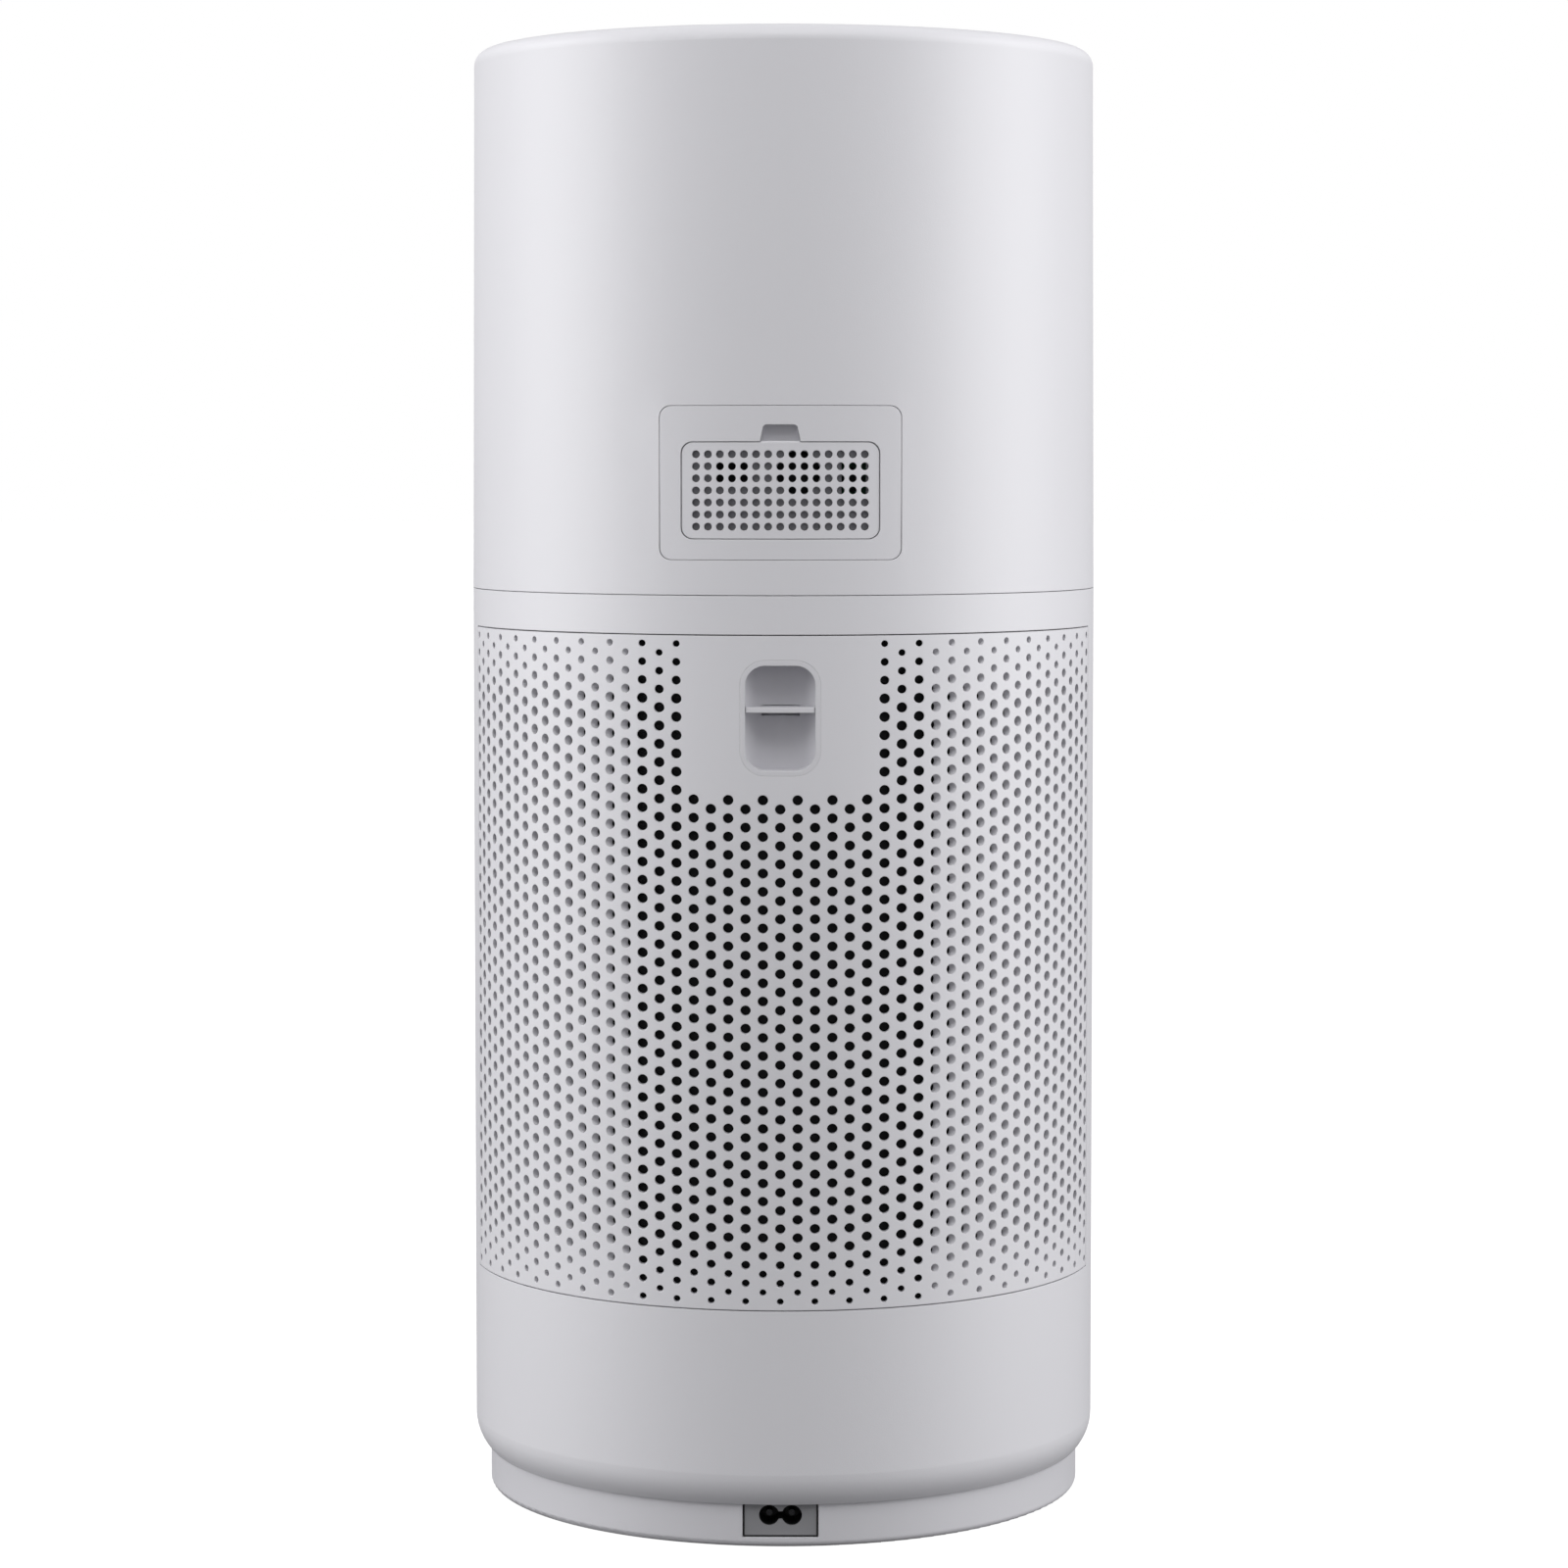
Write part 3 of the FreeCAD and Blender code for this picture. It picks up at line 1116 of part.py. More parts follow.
def make_top():
    rim = S.body_radius - S.shell_draft
    lip_inner = rim - S.lip_width
    wall = S.housing_wall
    shell_low = SEAM + S.seam_gap / 2
    spigot_outer = INNER_RADIUS - S.part_gap
    spigot_inner = spigot_outer - wall
    blank = turned("top_shell_blank", [
        (S.body_radius, shell_low), (rim, TOP - S.top_round, S.top_round), (rim - S.top_round, TOP),
        (lip_inner, TOP), (lip_inner, TOP - S.lip_depth), (lip_inner + S.lip_wall, TOP - S.lip_depth),
        (lip_inner + S.lip_wall, TOP - 3), (rim - wall, TOP - S.top_round - 1),
        (INNER_RADIUS, SEAM + S.spigot_depth), (spigot_inner, SEAM + S.spigot_depth),
        (spigot_inner, DECK_TOP), (spigot_outer, DECK_TOP), (spigot_outer, shell_low)])
    gap = 2 * S.bezel_gap
    window = extruded("sensor_window", "XZ_Plane", BEZEL_INNER / 2, S.body_radius + PAST,
                      rounded(ZERO, BEZEL_CENTRE, S.bezel_width + gap, S.bezel_height + gap, S.bezel_corner))
    shell = combine("Cut", "top_shell", blank, window)

    flange = TOP - S.chassis_drop
    flare = flange - S.chassis_flare
    chassis_outer = rim - wall - S.loose_gap
    seat = GRILLE_RADIUS - 1.5
    chassis = turned("top_chassis", [
        (CASING_INNER, CASING_TOP), (CASING_OUTER, CASING_TOP), (CASING_OUTER, flare),
        (GRILLE_RADIUS, flange), (chassis_outer, flange), (chassis_outer, GRILLE_BOTTOM),
        (seat, GRILLE_BOTTOM), (CASING_INNER, flare + S.casing_wall)])

    inner = S.panel_radius + S.part_gap
    grille = turned("outlet_grille",
                    rectangle(GRILLE_RADIUS - S.grille_ring, GRILLE_BOTTOM, GRILLE_RADIUS, GRILLE_TOP),
                    [(inner - 2, GRILLE_BOTTOM), (inner + S.grille_ring, GRILLE_BOTTOM),
                     (inner + S.grille_ring, GRILLE_TOP), (inner, GRILLE_TOP), (inner, PANEL_SEAT),
                     (inner - 2, PANEL_SEAT)])
    fin = extrude(grille, "XY_Plane", GRILLE_BOTTOM + 2, GRILLE_TOP,
                  rectangle(inner + OVERLAP, -S.fin_thickness / 2, GRILLE_RADIUS - OVERLAP,
                            S.fin_thickness / 2))
    repeat_round(grille, S.grille_fins, fin)
    return [shell, chassis, grille]


def make_controls():
    rebate = S.panel_radius - S.grille_ring
    panel = turned("control_panel", [
        (ZERO, PANEL_UNDER), (rebate, PANEL_UNDER), (rebate, PANEL_SEAT),
        (S.panel_radius, PANEL_SEAT), (S.panel_radius, PANEL_TOP), (ZERO, PANEL_TOP)])
    board_top = GRILLE_BOTTOM + 2
    post = extrude(panel, "XY_Plane", board_top, PANEL_UNDER,
                   (S.panel_radius - S.panel_post_inset, ZERO, S.panel_post_radius))
    repeat_round(panel, 4, post)
    places = [(index - (len(KEY_NAMES) - 1) / 2) * S.key_spacing for index in range(len(KEY_NAMES))]
    extrude(panel, "XY_Plane", PANEL_UNDER, PANEL_TOP,
            *[(x, S.key_offset, S.key_radius + S.part_gap) for x in places], cut=True)
    window_outline = rounded(ZERO, -S.window_offset, S.window_width, S.window_height,
                             S.window_corner)
    extrude(panel, "XY_Plane", PANEL_TOP - S.window_depth, PANEL_TOP, window_outline, cut=True)
    window = extruded("display_window", "XY_Plane", PANEL_TOP - S.window_depth, PANEL_TOP, window_outline)

    board = extruded("control_board", "XY_Plane", board_top - S.board_thickness, board_top,
                     (ZERO, ZERO, S.panel_radius - 4))
    switch_top = board_top + S.switch_rise
    half = S.switch_size / 2
    switches = extruded("tact_switches", "XY_Plane", board_top, switch_top,
                        *[rectangle(x - half, S.key_offset - half, x + half, S.key_offset + half)
                          for x in places])
    keys = []
    for name, x in zip(KEY_NAMES, places):
        key = new_body(name)
        flange_top = PANEL_UNDER - S.part_gap
        extrude(key, "XY_Plane", flange_top - S.key_flange, flange_top,
                (x, S.key_offset, S.key_radius + S.key_flange))
        extrude(key, "XY_Plane", flange_top, PANEL_TOP + S.key_standout, (x, S.key_offset, S.key_radius))
        extrude(key, "XY_Plane", switch_top + S.key_travel + S.part_gap, flange_top - S.key_flange,
                (x, S.key_offset, S.key_radius - S.key_stem_inset))
        keys.append(key)
    return [panel, window, board, switches] + keys


def check(pieces):
    failed = [thing.Label for thing in doc.Objects if {"Invalid", "Error"} & set(thing.State)]
    if failed:
        raise SystemExit("not recomputed: " + ", ".join(failed))
    for piece in pieces:
        if piece.Shape.isNull() or not piece.Shape.isValid() or not piece.Shape.Solids:
            raise SystemExit("bad shape: " + piece.Label)


pieces = (make_base() + make_inlet() + make_power_board() + make_housing() + make_filter() + make_fan()
          + make_door() + make_latch() + make_sensor() + make_top() + make_controls())
doc.recompute()
check(pieces)
os.makedirs("parts", exist_ok=True)
for piece in pieces:
    piece.Shape.exportStep(f"parts/{piece.Label}.step")
    limits = piece.Shape.BoundBox
    print(f"{piece.Label:18s} {len(piece.Shape.Solids)} solids {piece.Shape.Volume / 1000:9.2f} cm3"
          f"  z {limits.ZMin:6.1f} to {limits.ZMax:6.1f}")
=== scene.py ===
import json
import math
import bpy
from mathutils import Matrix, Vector


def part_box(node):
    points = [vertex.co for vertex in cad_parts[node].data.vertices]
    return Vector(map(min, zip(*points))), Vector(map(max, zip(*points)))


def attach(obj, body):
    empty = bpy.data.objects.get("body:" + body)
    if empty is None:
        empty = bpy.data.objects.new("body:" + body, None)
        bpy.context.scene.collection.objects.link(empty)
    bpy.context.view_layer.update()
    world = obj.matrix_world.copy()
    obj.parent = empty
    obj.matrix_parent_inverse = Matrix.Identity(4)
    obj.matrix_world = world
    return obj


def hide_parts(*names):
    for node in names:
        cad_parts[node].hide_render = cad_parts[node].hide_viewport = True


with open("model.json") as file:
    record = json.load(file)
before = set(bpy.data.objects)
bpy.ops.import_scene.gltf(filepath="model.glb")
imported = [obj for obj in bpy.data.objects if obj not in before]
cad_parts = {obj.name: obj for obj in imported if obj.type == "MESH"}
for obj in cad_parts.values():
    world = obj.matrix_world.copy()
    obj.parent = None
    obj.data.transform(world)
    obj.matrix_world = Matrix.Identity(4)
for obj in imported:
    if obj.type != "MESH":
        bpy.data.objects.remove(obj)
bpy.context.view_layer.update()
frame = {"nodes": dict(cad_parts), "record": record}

nodes = frame["nodes"]
print("frame loaded:", len(nodes), "nodes")


class Value:
    # wraps a shader socket so that sums read as sums
    def __init__(self, graph, socket):
        self.graph = graph
        self.socket = socket

    def maths(self, operation, other=None):
        inputs = {0: self}
        if other is not None:
            inputs[1] = other
        return self.graph.add("ShaderNodeMath", {"operation": operation}, inputs)

    def __add__(self, other):
        return self.maths("ADD", other)

    def __sub__(self, other):
        return self.maths("SUBTRACT", other)

    def __rsub__(self, other):
        return self.graph.add("ShaderNodeMath", {"operation": "SUBTRACT"}, {0: other, 1: self})

    def __mul__(self, other):
        return self.maths("MULTIPLY", other)

    __radd__ = __add__
    __rmul__ = __mul__

    def sine(self):
        return self.maths("SINE")

    def size(self):
        return self.maths("ABSOLUTE")

    def ramp(self, low, high):
        return self.graph.add("ShaderNodeMapRange", {"interpolation_type": "SMOOTHSTEP"},
                              {"Value": self, "From Min": low, "From Max": high})


class Graph:
    # one material's nodes
    def __init__(self, name):
        self.material = bpy.data.materials.new(name)
        self.material.use_nodes = True
        self.tree = self.material.node_tree
        self.shader = self.tree.nodes["Principled BSDF"]

    def add(self, kind, settings=None, inputs=None, output=0):
        node = self.tree.nodes.new(kind)
        for key, setting in (settings or {}).items():
            setattr(node, key, setting)
        for key, given in (inputs or {}).items():
            self.feed(node.inputs[key], given)
        return Value(self, node.outputs[output])

    def feed(self, socket, given):
        if isinstance(given, Value):
            self.tree.links.new(given.socket, socket)
        else:
            socket.default_value = given

    def set(self, **sockets):
        for key, given in sockets.items():
            self.feed(self.shader.inputs[key.replace("_", " ")], given)

    def place(self):
        # object coordinates in metres
        return self.add("ShaderNodeTexCoord", output=3)

    def axis(self, name):
        return self.add("ShaderNodeSeparateXYZ", inputs={0: self.place()}, output="XYZ".index(name))

    def noise(self, scale, detail=2.0, roughness=0.5, vector=None):
        return self.add("ShaderNodeTexNoise", {"noise_dimensions": "3D"},
                        {"Vector": vector or self.place(), "Scale": scale, "Detail": detail,
                         "Roughness": roughness})

    def mix(self, factor, first, second):
        return self.add("ShaderNodeMix", {"data_type": "RGBA"}, {0: factor, 6: first, 7: second}, output=2)

    def bump(self, height, strength, distance, under=None):
        inputs = {"Height": height, "Strength": strength, "Distance": distance}
        if under:
            inputs["Normal"] = under
        return self.add("ShaderNodeBump", {}, inputs)

    def softEdge(self, radius):
        # rounds the light on moulded edges
        return self.add("ShaderNodeBevel", {"samples": 4}, {"Radius": radius})


def rgba(colour):
    return (*colour, 1.0)


def shade(colour, share):
    return rgba([channel * share for channel in colour])


plasticLook = {
    "shell": {"colour": (0.735, 0.73, 0.765), "rough": 0.42, "grain": 0.10},
    "base": {"colour": (0.66, 0.655, 0.69), "rough": 0.45, "grain": 0.10},
    "cup": {"colour": (0.70, 0.695, 0.73), "rough": 0.42, "grain": 0.08},
    "sensorPlastic": {"colour": (0.725, 0.72, 0.755), "rough": 0.42, "grain": 0.10},
    "innerPlastic": {"colour": (0.36, 0.36, 0.38), "rough": 0.55, "grain": 0.20},
    "blackPlastic": {"colour": (0.018, 0.018, 0.020), "rough": 0.5, "grain": 0.15},
    "filterFrame": {"colour": (0.075, 0.085, 0.11), "rough": 0.5, "grain": 0.15},
    "fanPlastic": {"colour": (0.30, 0.305, 0.32), "rough": 0.4, "grain": 0.12},
    "keyPlastic": {"colour": (0.78, 0.775, 0.80), "rough": 0.38, "grain": 0.05},
    "componentPlastic": {"colour": (0.03, 0.03, 0.035), "rough": 0.45, "grain": 0.10},
    "panelPlastic": {"colour": (0.60, 0.60, 0.63), "rough": 0.22, "grain": 0.03},
}


mouldedLook = {"broadScale": 9.0, "mottleScale": 160.0, "sparkScale": 2600.0, "sparkRough": 0.6,
               "broadTint": 0.10, "mottleTint": 0.06, "spread": 0.05, "broadGloss": 0.08, "sparkGloss": 0.10,
               "sparkDepth": 0.0004, "edgeRadius": 0.0005, "specular": 0.45}


def plastic(name, colour, rough, grain):
    # moulded plastic: fine spark texture, faint uneven gloss and colour
    look = mouldedLook
    graph = Graph(name)
    broad = graph.noise(look["broadScale"], 3.0)
    mottle = graph.noise(look["mottleScale"], 2.0)
    spark = graph.noise(look["sparkScale"], 2.0, look["sparkRough"])
    tint = (broad - 0.5) * look["broadTint"] + (mottle - 0.5) * look["mottleTint"] + 0.5
    dark, light = shade(colour, 1 - look["spread"]), shade(colour, 1 + look["spread"])
    graph.set(Base_Color=graph.mix(tint, dark, light),
              Roughness=rough + (broad - 0.5) * look["broadGloss"] + (spark - 0.5) * look["sparkGloss"],
              Normal=graph.bump(spark, grain, look["sparkDepth"], graph.softEdge(look["edgeRadius"])))
    graph.shader.inputs["Specular IOR Level"].default_value = look["specular"]
    return graph.material


# the face colour is the inlet's own; the near-black colour deep in the sockets and the thin dark edge line
# are painted shade
inletLook = {"face": (0.27, 0.27, 0.285), "inside": (0.012, 0.012, 0.013), "line": 0.0004, "socketShadeFade": 0.0007,
             "rough": 0.5, "grain": 0.15}


def inletPlasticPaintedShade():
    # mid grey face, with painted shade: a dark shadow line painted round its edge and the colour turning
    # black down in the sockets
    look = inletLook
    graph = Graph("inletPlasticPaintedShade")
    low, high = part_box("power_inlet")
    width = look["line"]
    # painted gap shadow: a thin dark line along the plate's sides and foot
    side = graph.axis("X").size().ramp(high[0] - 1.5 * width, high[0] - width)
    foot = graph.axis("Z").ramp(low[2] + width, low[2] + 1.5 * width)
    # painted shade: the colour turns near black deeper into the sockets
    depth = graph.axis("Y").ramp(high[1] - 2 * look["socketShadeFade"], high[1] - look["socketShadeFade"])
    lit = depth * foot * (1.0 - side)
    spark = graph.noise(mouldedLook["sparkScale"], 2.0, mouldedLook["sparkRough"])
    graph.set(Base_Color=graph.mix(lit, rgba(look["inside"]), rgba(look["face"])),
              Roughness=look["rough"] + (spark - 0.5) * mouldedLook["sparkGloss"],
              Normal=graph.bump(spark, look["grain"], mouldedLook["sparkDepth"]))
    return graph.material


screenLook = {"pitch": 0.0009, "hole": (0.0015, 0.0015, 0.002), "thread": (0.005, 0.005, 0.0065),
              "rough": 0.75, "relief": 0.6, "depth": 0.0003}


def screenMesh():
    # fine woven black mesh
    look = screenLook
    graph = Graph("screenMesh")
    wave = math.tau / look["pitch"]
    across = graph.axis("X") + graph.axis("Y")
    weave = (across * wave).sine() * (graph.axis("Z") * wave).sine()
    thread = weave.ramp(-0.6, 0.8)
    graph.set(Base_Color=graph.mix(thread, rgba(look["hole"]), rgba(look["thread"])),
              Roughness=look["rough"], Normal=graph.bump(thread, look["relief"], look["depth"]))
    return graph.material


netLook = {"pitch": 0.0016, "radius": 0.0955, "hole": (0.006, 0.006, 0.007),
           "thread": (0.045, 0.047, 0.052), "rough": 0.85, "relief": 0.8, "depth": 0.0004}


def netFabric():
    # knitted pre-filter net
    look = netLook
    graph = Graph("netFabric")
    wave = math.tau / look["pitch"]
    turn = graph.add("ShaderNodeMath", {"operation": "ARCTAN2"}, {0: graph.axis("Y"), 1: graph.axis("X")})
    around = turn * look["radius"]
    first = (around * wave + graph.axis("Z") * wave).sine()
    second = (around * wave - graph.axis("Z") * wave).sine()
    thread = first.maths("MAXIMUM", second).ramp(0.2, 0.9)
    graph.set(Base_Color=graph.mix(thread, rgba(look["hole"]), rgba(look["thread"])),
              Roughness=look["rough"], Normal=graph.bump(thread, look["relief"], look["depth"]))
    return graph.material


paperLook = {"fibreScale": 900.0, "stainScale": 30.0, "dark": (0.72, 0.72, 0.67),
             "light": (0.84, 0.84, 0.80), "rough": 0.9, "relief": 0.5, "depth": 0.0004}


def pleatPaper():
    # white filter paper, fibrous and slightly uneven
    look = paperLook
    graph = Graph("pleatPaper")
    fibre = graph.noise(look["fibreScale"], 4.0, 0.7)
    stain = graph.noise(look["stainScale"], 3.0)
    graph.set(Base_Color=graph.mix(stain, rgba(look["dark"]), rgba(look["light"])),
              Roughness=look["rough"], Normal=graph.bump(fibre, look["relief"], look["depth"]))
    return graph.material


carbonLook = {"grainScale": 700.0, "dark": (0.006, 0.006, 0.006), "light": (0.03, 0.03, 0.03),
              "rough": 0.8, "relief": 0.8, "depth": 0.0006}


def carbonCloth():
    # cloth filled with carbon grains
    look = carbonLook
    graph = Graph("carbonCloth")
    grain = graph.add("ShaderNodeTexVoronoi", {"feature": "F1"},
                      {"Vector": graph.place(), "Scale": look["grainScale"]})
    graph.set(Base_Color=graph.mix(grain, rgba(look["dark"]), rgba(look["light"])),
              Roughness=look["rough"], Normal=graph.bump(grain, look["relief"], look["depth"]))
    return graph.material


rubberLook = {"grainScale": 1500.0, "dustScale": 60.0, "dustShade": 1.8, "rough": 0.72, "uneven": 0.2,
              "relief": 0.35, "depth": 0.0004}


def rubberFinish(name, colour):
    # matt surface with fine grain and a little dust
    look = rubberLook
    graph = Graph(name)
    grain = graph.noise(look["grainScale"], 3.0, 0.7)
    dust = graph.noise(look["dustScale"], 3.0)
    graph.set(Base_Color=graph.mix(dust.ramp(0.35, 0.75), rgba(colour), shade(colour, look["dustShade"])),
              Roughness=look["rough"] + (grain - 0.5) * look["uneven"],
              Normal=graph.bump(grain, look["relief"], look["depth"]))
    return graph.material


metalLook = {"lineScale": 900.0, "dark": 0.85, "uneven": 0.18, "relief": 0.12, "depth": 0.0002}


def metal(name, colour, rough, streak):
    # metal with faint drawn lines along Z
    look = metalLook
    graph = Graph(name)
    stretched = graph.add("ShaderNodeMapping", {}, {"Vector": graph.place(), "Scale": (1.0, 1.0, streak)})
    lines = graph.noise(look["lineScale"], 3.0, 0.6, stretched)
    graph.set(Base_Color=graph.mix(lines, shade(colour, look["dark"]), rgba(colour)), Metallic=1.0,
              Roughness=rough + (lines - 0.5) * look["uneven"],
              Normal=graph.bump(lines, look["relief"], look["depth"]))
    return graph.material


# the gap colour is painted shade: the same copper, darker where the grooves between wires fall in shade
windingLook = {"pitch": 0.0006, "gap": (0.16, 0.045, 0.012), "wire": (0.72, 0.28, 0.09), "metallic": 0.9,
               "rough": 0.35, "relief": 0.8, "depth": 0.0003}


def windingsGrooveShade():
    # enamelled copper wire laid side by side, with painted shade darkening the grooves between the wires
    look = windingLook
    graph = Graph("windingsGrooveShade")
    wires = (graph.axis("Z") * (math.tau / look["pitch"])).sine()
    # painted shade: darker copper in the grooves between wires
    graph.set(Base_Color=graph.mix(wires.ramp(-1.0, 0.6), rgba(look["gap"]), rgba(look["wire"])),
              Metallic=look["metallic"], Roughness=look["rough"],
              Normal=graph.bump(wires, look["relief"], look["depth"]))
    return graph.material


boardLook = {"scale": 90.0, "trackWidth": 0.03, "offset": 0.37, "lacquer": (0.008, 0.10, 0.04),
             "lacquerLight": (0.012, 0.13, 0.055), "track": (0.03, 0.22, 0.10), "rough": 0.35,
             "grainScale": 400.0, "relief": 0.1, "depth": 0.0003}


def circuitBoard():
    # green lacquer with lighter tracks
    look = boardLook
    graph = Graph("circuitBoard")
    tracks = graph.add("ShaderNodeTexBrick", {"offset": look["offset"]},
                       {"Vector": graph.place(), "Scale": look["scale"], "Mortar Size": look["trackWidth"],
                        "Color1": rgba(look["lacquer"]), "Color2": rgba(look["lacquerLight"]),
                        "Mortar": rgba(look["track"])})
    grain = graph.noise(look["grainScale"])
    graph.set(Base_Color=tracks, Roughness=look["rough"],
              Normal=graph.bump(grain, look["relief"], look["depth"]))
    return graph.material


windowLook = {"hazeScale": 40.0, "dark": (0.008, 0.008, 0.010), "light": (0.014, 0.014, 0.017),
              "rough": 0.06, "uneven": 0.05, "coat": 0.6, "coatRough": 0.03}


def smokedWindow():
    # smoked glossy plastic
    look = windowLook
    graph = Graph("smokedWindow")
    haze = graph.noise(look["hazeScale"], 3.0)
    graph.set(Base_Color=graph.mix(haze, rgba(look["dark"]), rgba(look["light"])),
              Roughness=look["rough"] + haze * look["uneven"])
    graph.shader.inputs["Coat Weight"].default_value = look["coat"]
    graph.shader.inputs["Coat Roughness"].default_value = look["coatRough"]
    return graph.material


finishes = {name: plastic(name, **look) for name, look in plasticLook.items()}
finishes["inletPlasticPaintedShade"] = inletPlasticPaintedShade()
finishes["screen"] = screenMesh()
finishes["net"] = netFabric()
finishes["paper"] = pleatPaper()
finishes["carbon"] = carbonCloth()
finishes["rubber"] = rubberFinish("rubber", (0.02, 0.02, 0.021))
finishes["foam"] = rubberFinish("foam", (0.03, 0.03, 0.032))
finishes["steel"] = metal("steel", (0.60, 0.60, 0.62), 0.28, 0.05)
# the inlet pins' metal is coloured near black as painted shade, since they sit deep in the sockets
finishes["shadedPinMetal"] = metal("shadedPinMetal", (0.07, 0.07, 0.075), 0.45, 0.05)
finishes["springSteel"] = metal("springSteel", (0.50, 0.51, 0.54), 0.32, 0.08)
finishes["ferrite"] = rubberFinish("ferrite", (0.05, 0.05, 0.052))
finishes["copper"] = windingsGrooveShade()
finishes["circuit"] = circuitBoard()
finishes["window"] = smokedWindow()
finishes["signPaint"] = rubberFinish("signPaint", (0.10, 0.10, 0.105))
finishes["figurePaint"] = rubberFinish("figurePaint", (0.045, 0.045, 0.05))

finishOfSlot = {
    "shell": "shell", "base": "base", "cup": "cup", "sensor_plastic": "sensorPlastic",
    "inner_plastic": "innerPlastic", "black_plastic": "blackPlastic", "inlet_plastic": "inletPlasticPaintedShade",
    "screen": "screen", "filter_frame": "filterFrame", "filter_media": "paper", "net": "net",
    "carbon": "carbon", "foam": "foam", "rubber": "rubber", "steel": "steel",
    "spring_steel": "springSteel", "copper": "copper", "magnet": "ferrite", "circuit": "circuit",
    "components": "componentPlastic", "fan_plastic": "fanPlastic", "panel": "panelPlastic",
    "window": "window", "key": "keyPlastic",
}

for row in frame["record"]["subparts"]:
    node = nodes[row["node"]]
    node.data.materials.clear()
    node.data.materials.append(finishes[finishOfSlot[row["material_slot"]]])
# painted shade: the pins get the near-black metal because they are deep in the sockets
nodes["inlet_pins"].data.materials[0] = finishes["shadedPinMetal"]  # dull, deep in the sockets
print("finishes:", len(finishes))


def sweepAside():
    bpy.ops.object.select_all(action="DESELECT")


def settle(piece, finish, body, stands=None):
    # puts a finished piece's place in its mesh and ties it to its body
    sweepAside()
    piece.select_set(True)
    bpy.context.view_layer.objects.active = piece
    bpy.ops.object.transform_apply(location=True, rotation=True, scale=True)
    bpy.ops.object.shade_smooth_by_angle(angle=math.radians(35))
    piece.data.materials.clear()
    piece.data.materials.append(finishes[finish])
    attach(piece, body)
    if stands:
        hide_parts(stands)
    return piece


def applyAll(piece):
    sweepAside()
    piece.select_set(True)
    bpy.context.view_layer.objects.active = piece
    for modifier in list(piece.modifiers):
        bpy.ops.object.modifier_apply(modifier=modifier.name)


def soften(piece, width, segments=2):
    bevel = piece.modifiers.new("edges", "BEVEL")
    bevel.width = width
    bevel.segments = segments
    bevel.limit_method = "ANGLE"
    applyAll(piece)


def joinAll(name, pieces):
    sweepAside()
    for piece in pieces:
        piece.select_set(True)
    bpy.context.view_layer.objects.active = pieces[0]
    bpy.ops.object.join()
    joined = bpy.context.object
    joined.name = name
    return joined


def addBar(centre, size, turned, edge):
    # a small rounded bar, turned about the vertical
    sweepAside()
    bpy.ops.mesh.primitive_cube_add(size=1.0, location=centre, rotation=(0, 0, math.radians(turned)))
    bar = bpy.context.object
    bar.scale = size
    bpy.ops.object.transform_apply(location=True, rotation=True, scale=True)
    soften(bar, edge)
    return bar


def addRing(centre, inner, outer, height, edge, sides):
    # a flat ring with rounded edges
    sweepAside()
    bpy.ops.mesh.primitive_cylinder_add(vertices=sides, radius=outer, depth=height, end_fill_type="NOTHING",
                                        location=centre)
    ring = bpy.context.object
    wall = ring.modifiers.new("wall", "SOLIDIFY")
    wall.thickness = outer - inner
    wall.offset = -1.0
    applyAll(ring)
    bpy.ops.object.transform_apply(location=True, rotation=True, scale=True)
    soften(ring, edge)
    return ring


def pickVertices(piece, test):
    # selects vertices by place, ready for edit mode
    bpy.ops.object.mode_set(mode="EDIT")
    bpy.ops.mesh.select_mode(type="VERT")
    bpy.ops.mesh.select_all(action="DESELECT")
    bpy.ops.object.mode_set(mode="OBJECT")
    for vertex in piece.data.vertices:
        vertex.select = test(vertex.co)
    bpy.ops.object.mode_set(mode="EDIT")


def pickFaces(piece, test):
    bpy.ops.object.mode_set(mode="EDIT")
    bpy.ops.mesh.select_mode(type="FACE")
    bpy.ops.mesh.select_all(action="DESELECT")
    bpy.ops.object.mode_set(mode="OBJECT")
    for face in piece.data.polygons:
        face.select = test(face)
    bpy.ops.object.mode_set(mode="EDIT")


grilleShape = {"fins": 54, "thickness": 0.0015, "sweep": 20.0, "lean": 2.2, "stations": 8,
               "ringWidth": 0.0033, "middleRing": 0.0014, "middleRise": 0.3, "middleHeight": 0.4,
               "lift": 0.0015, "edge": 0.0004, "panelGap": 0.0003,
               "innerSides": 96, "middleSides": 128, "outerSides": 160}


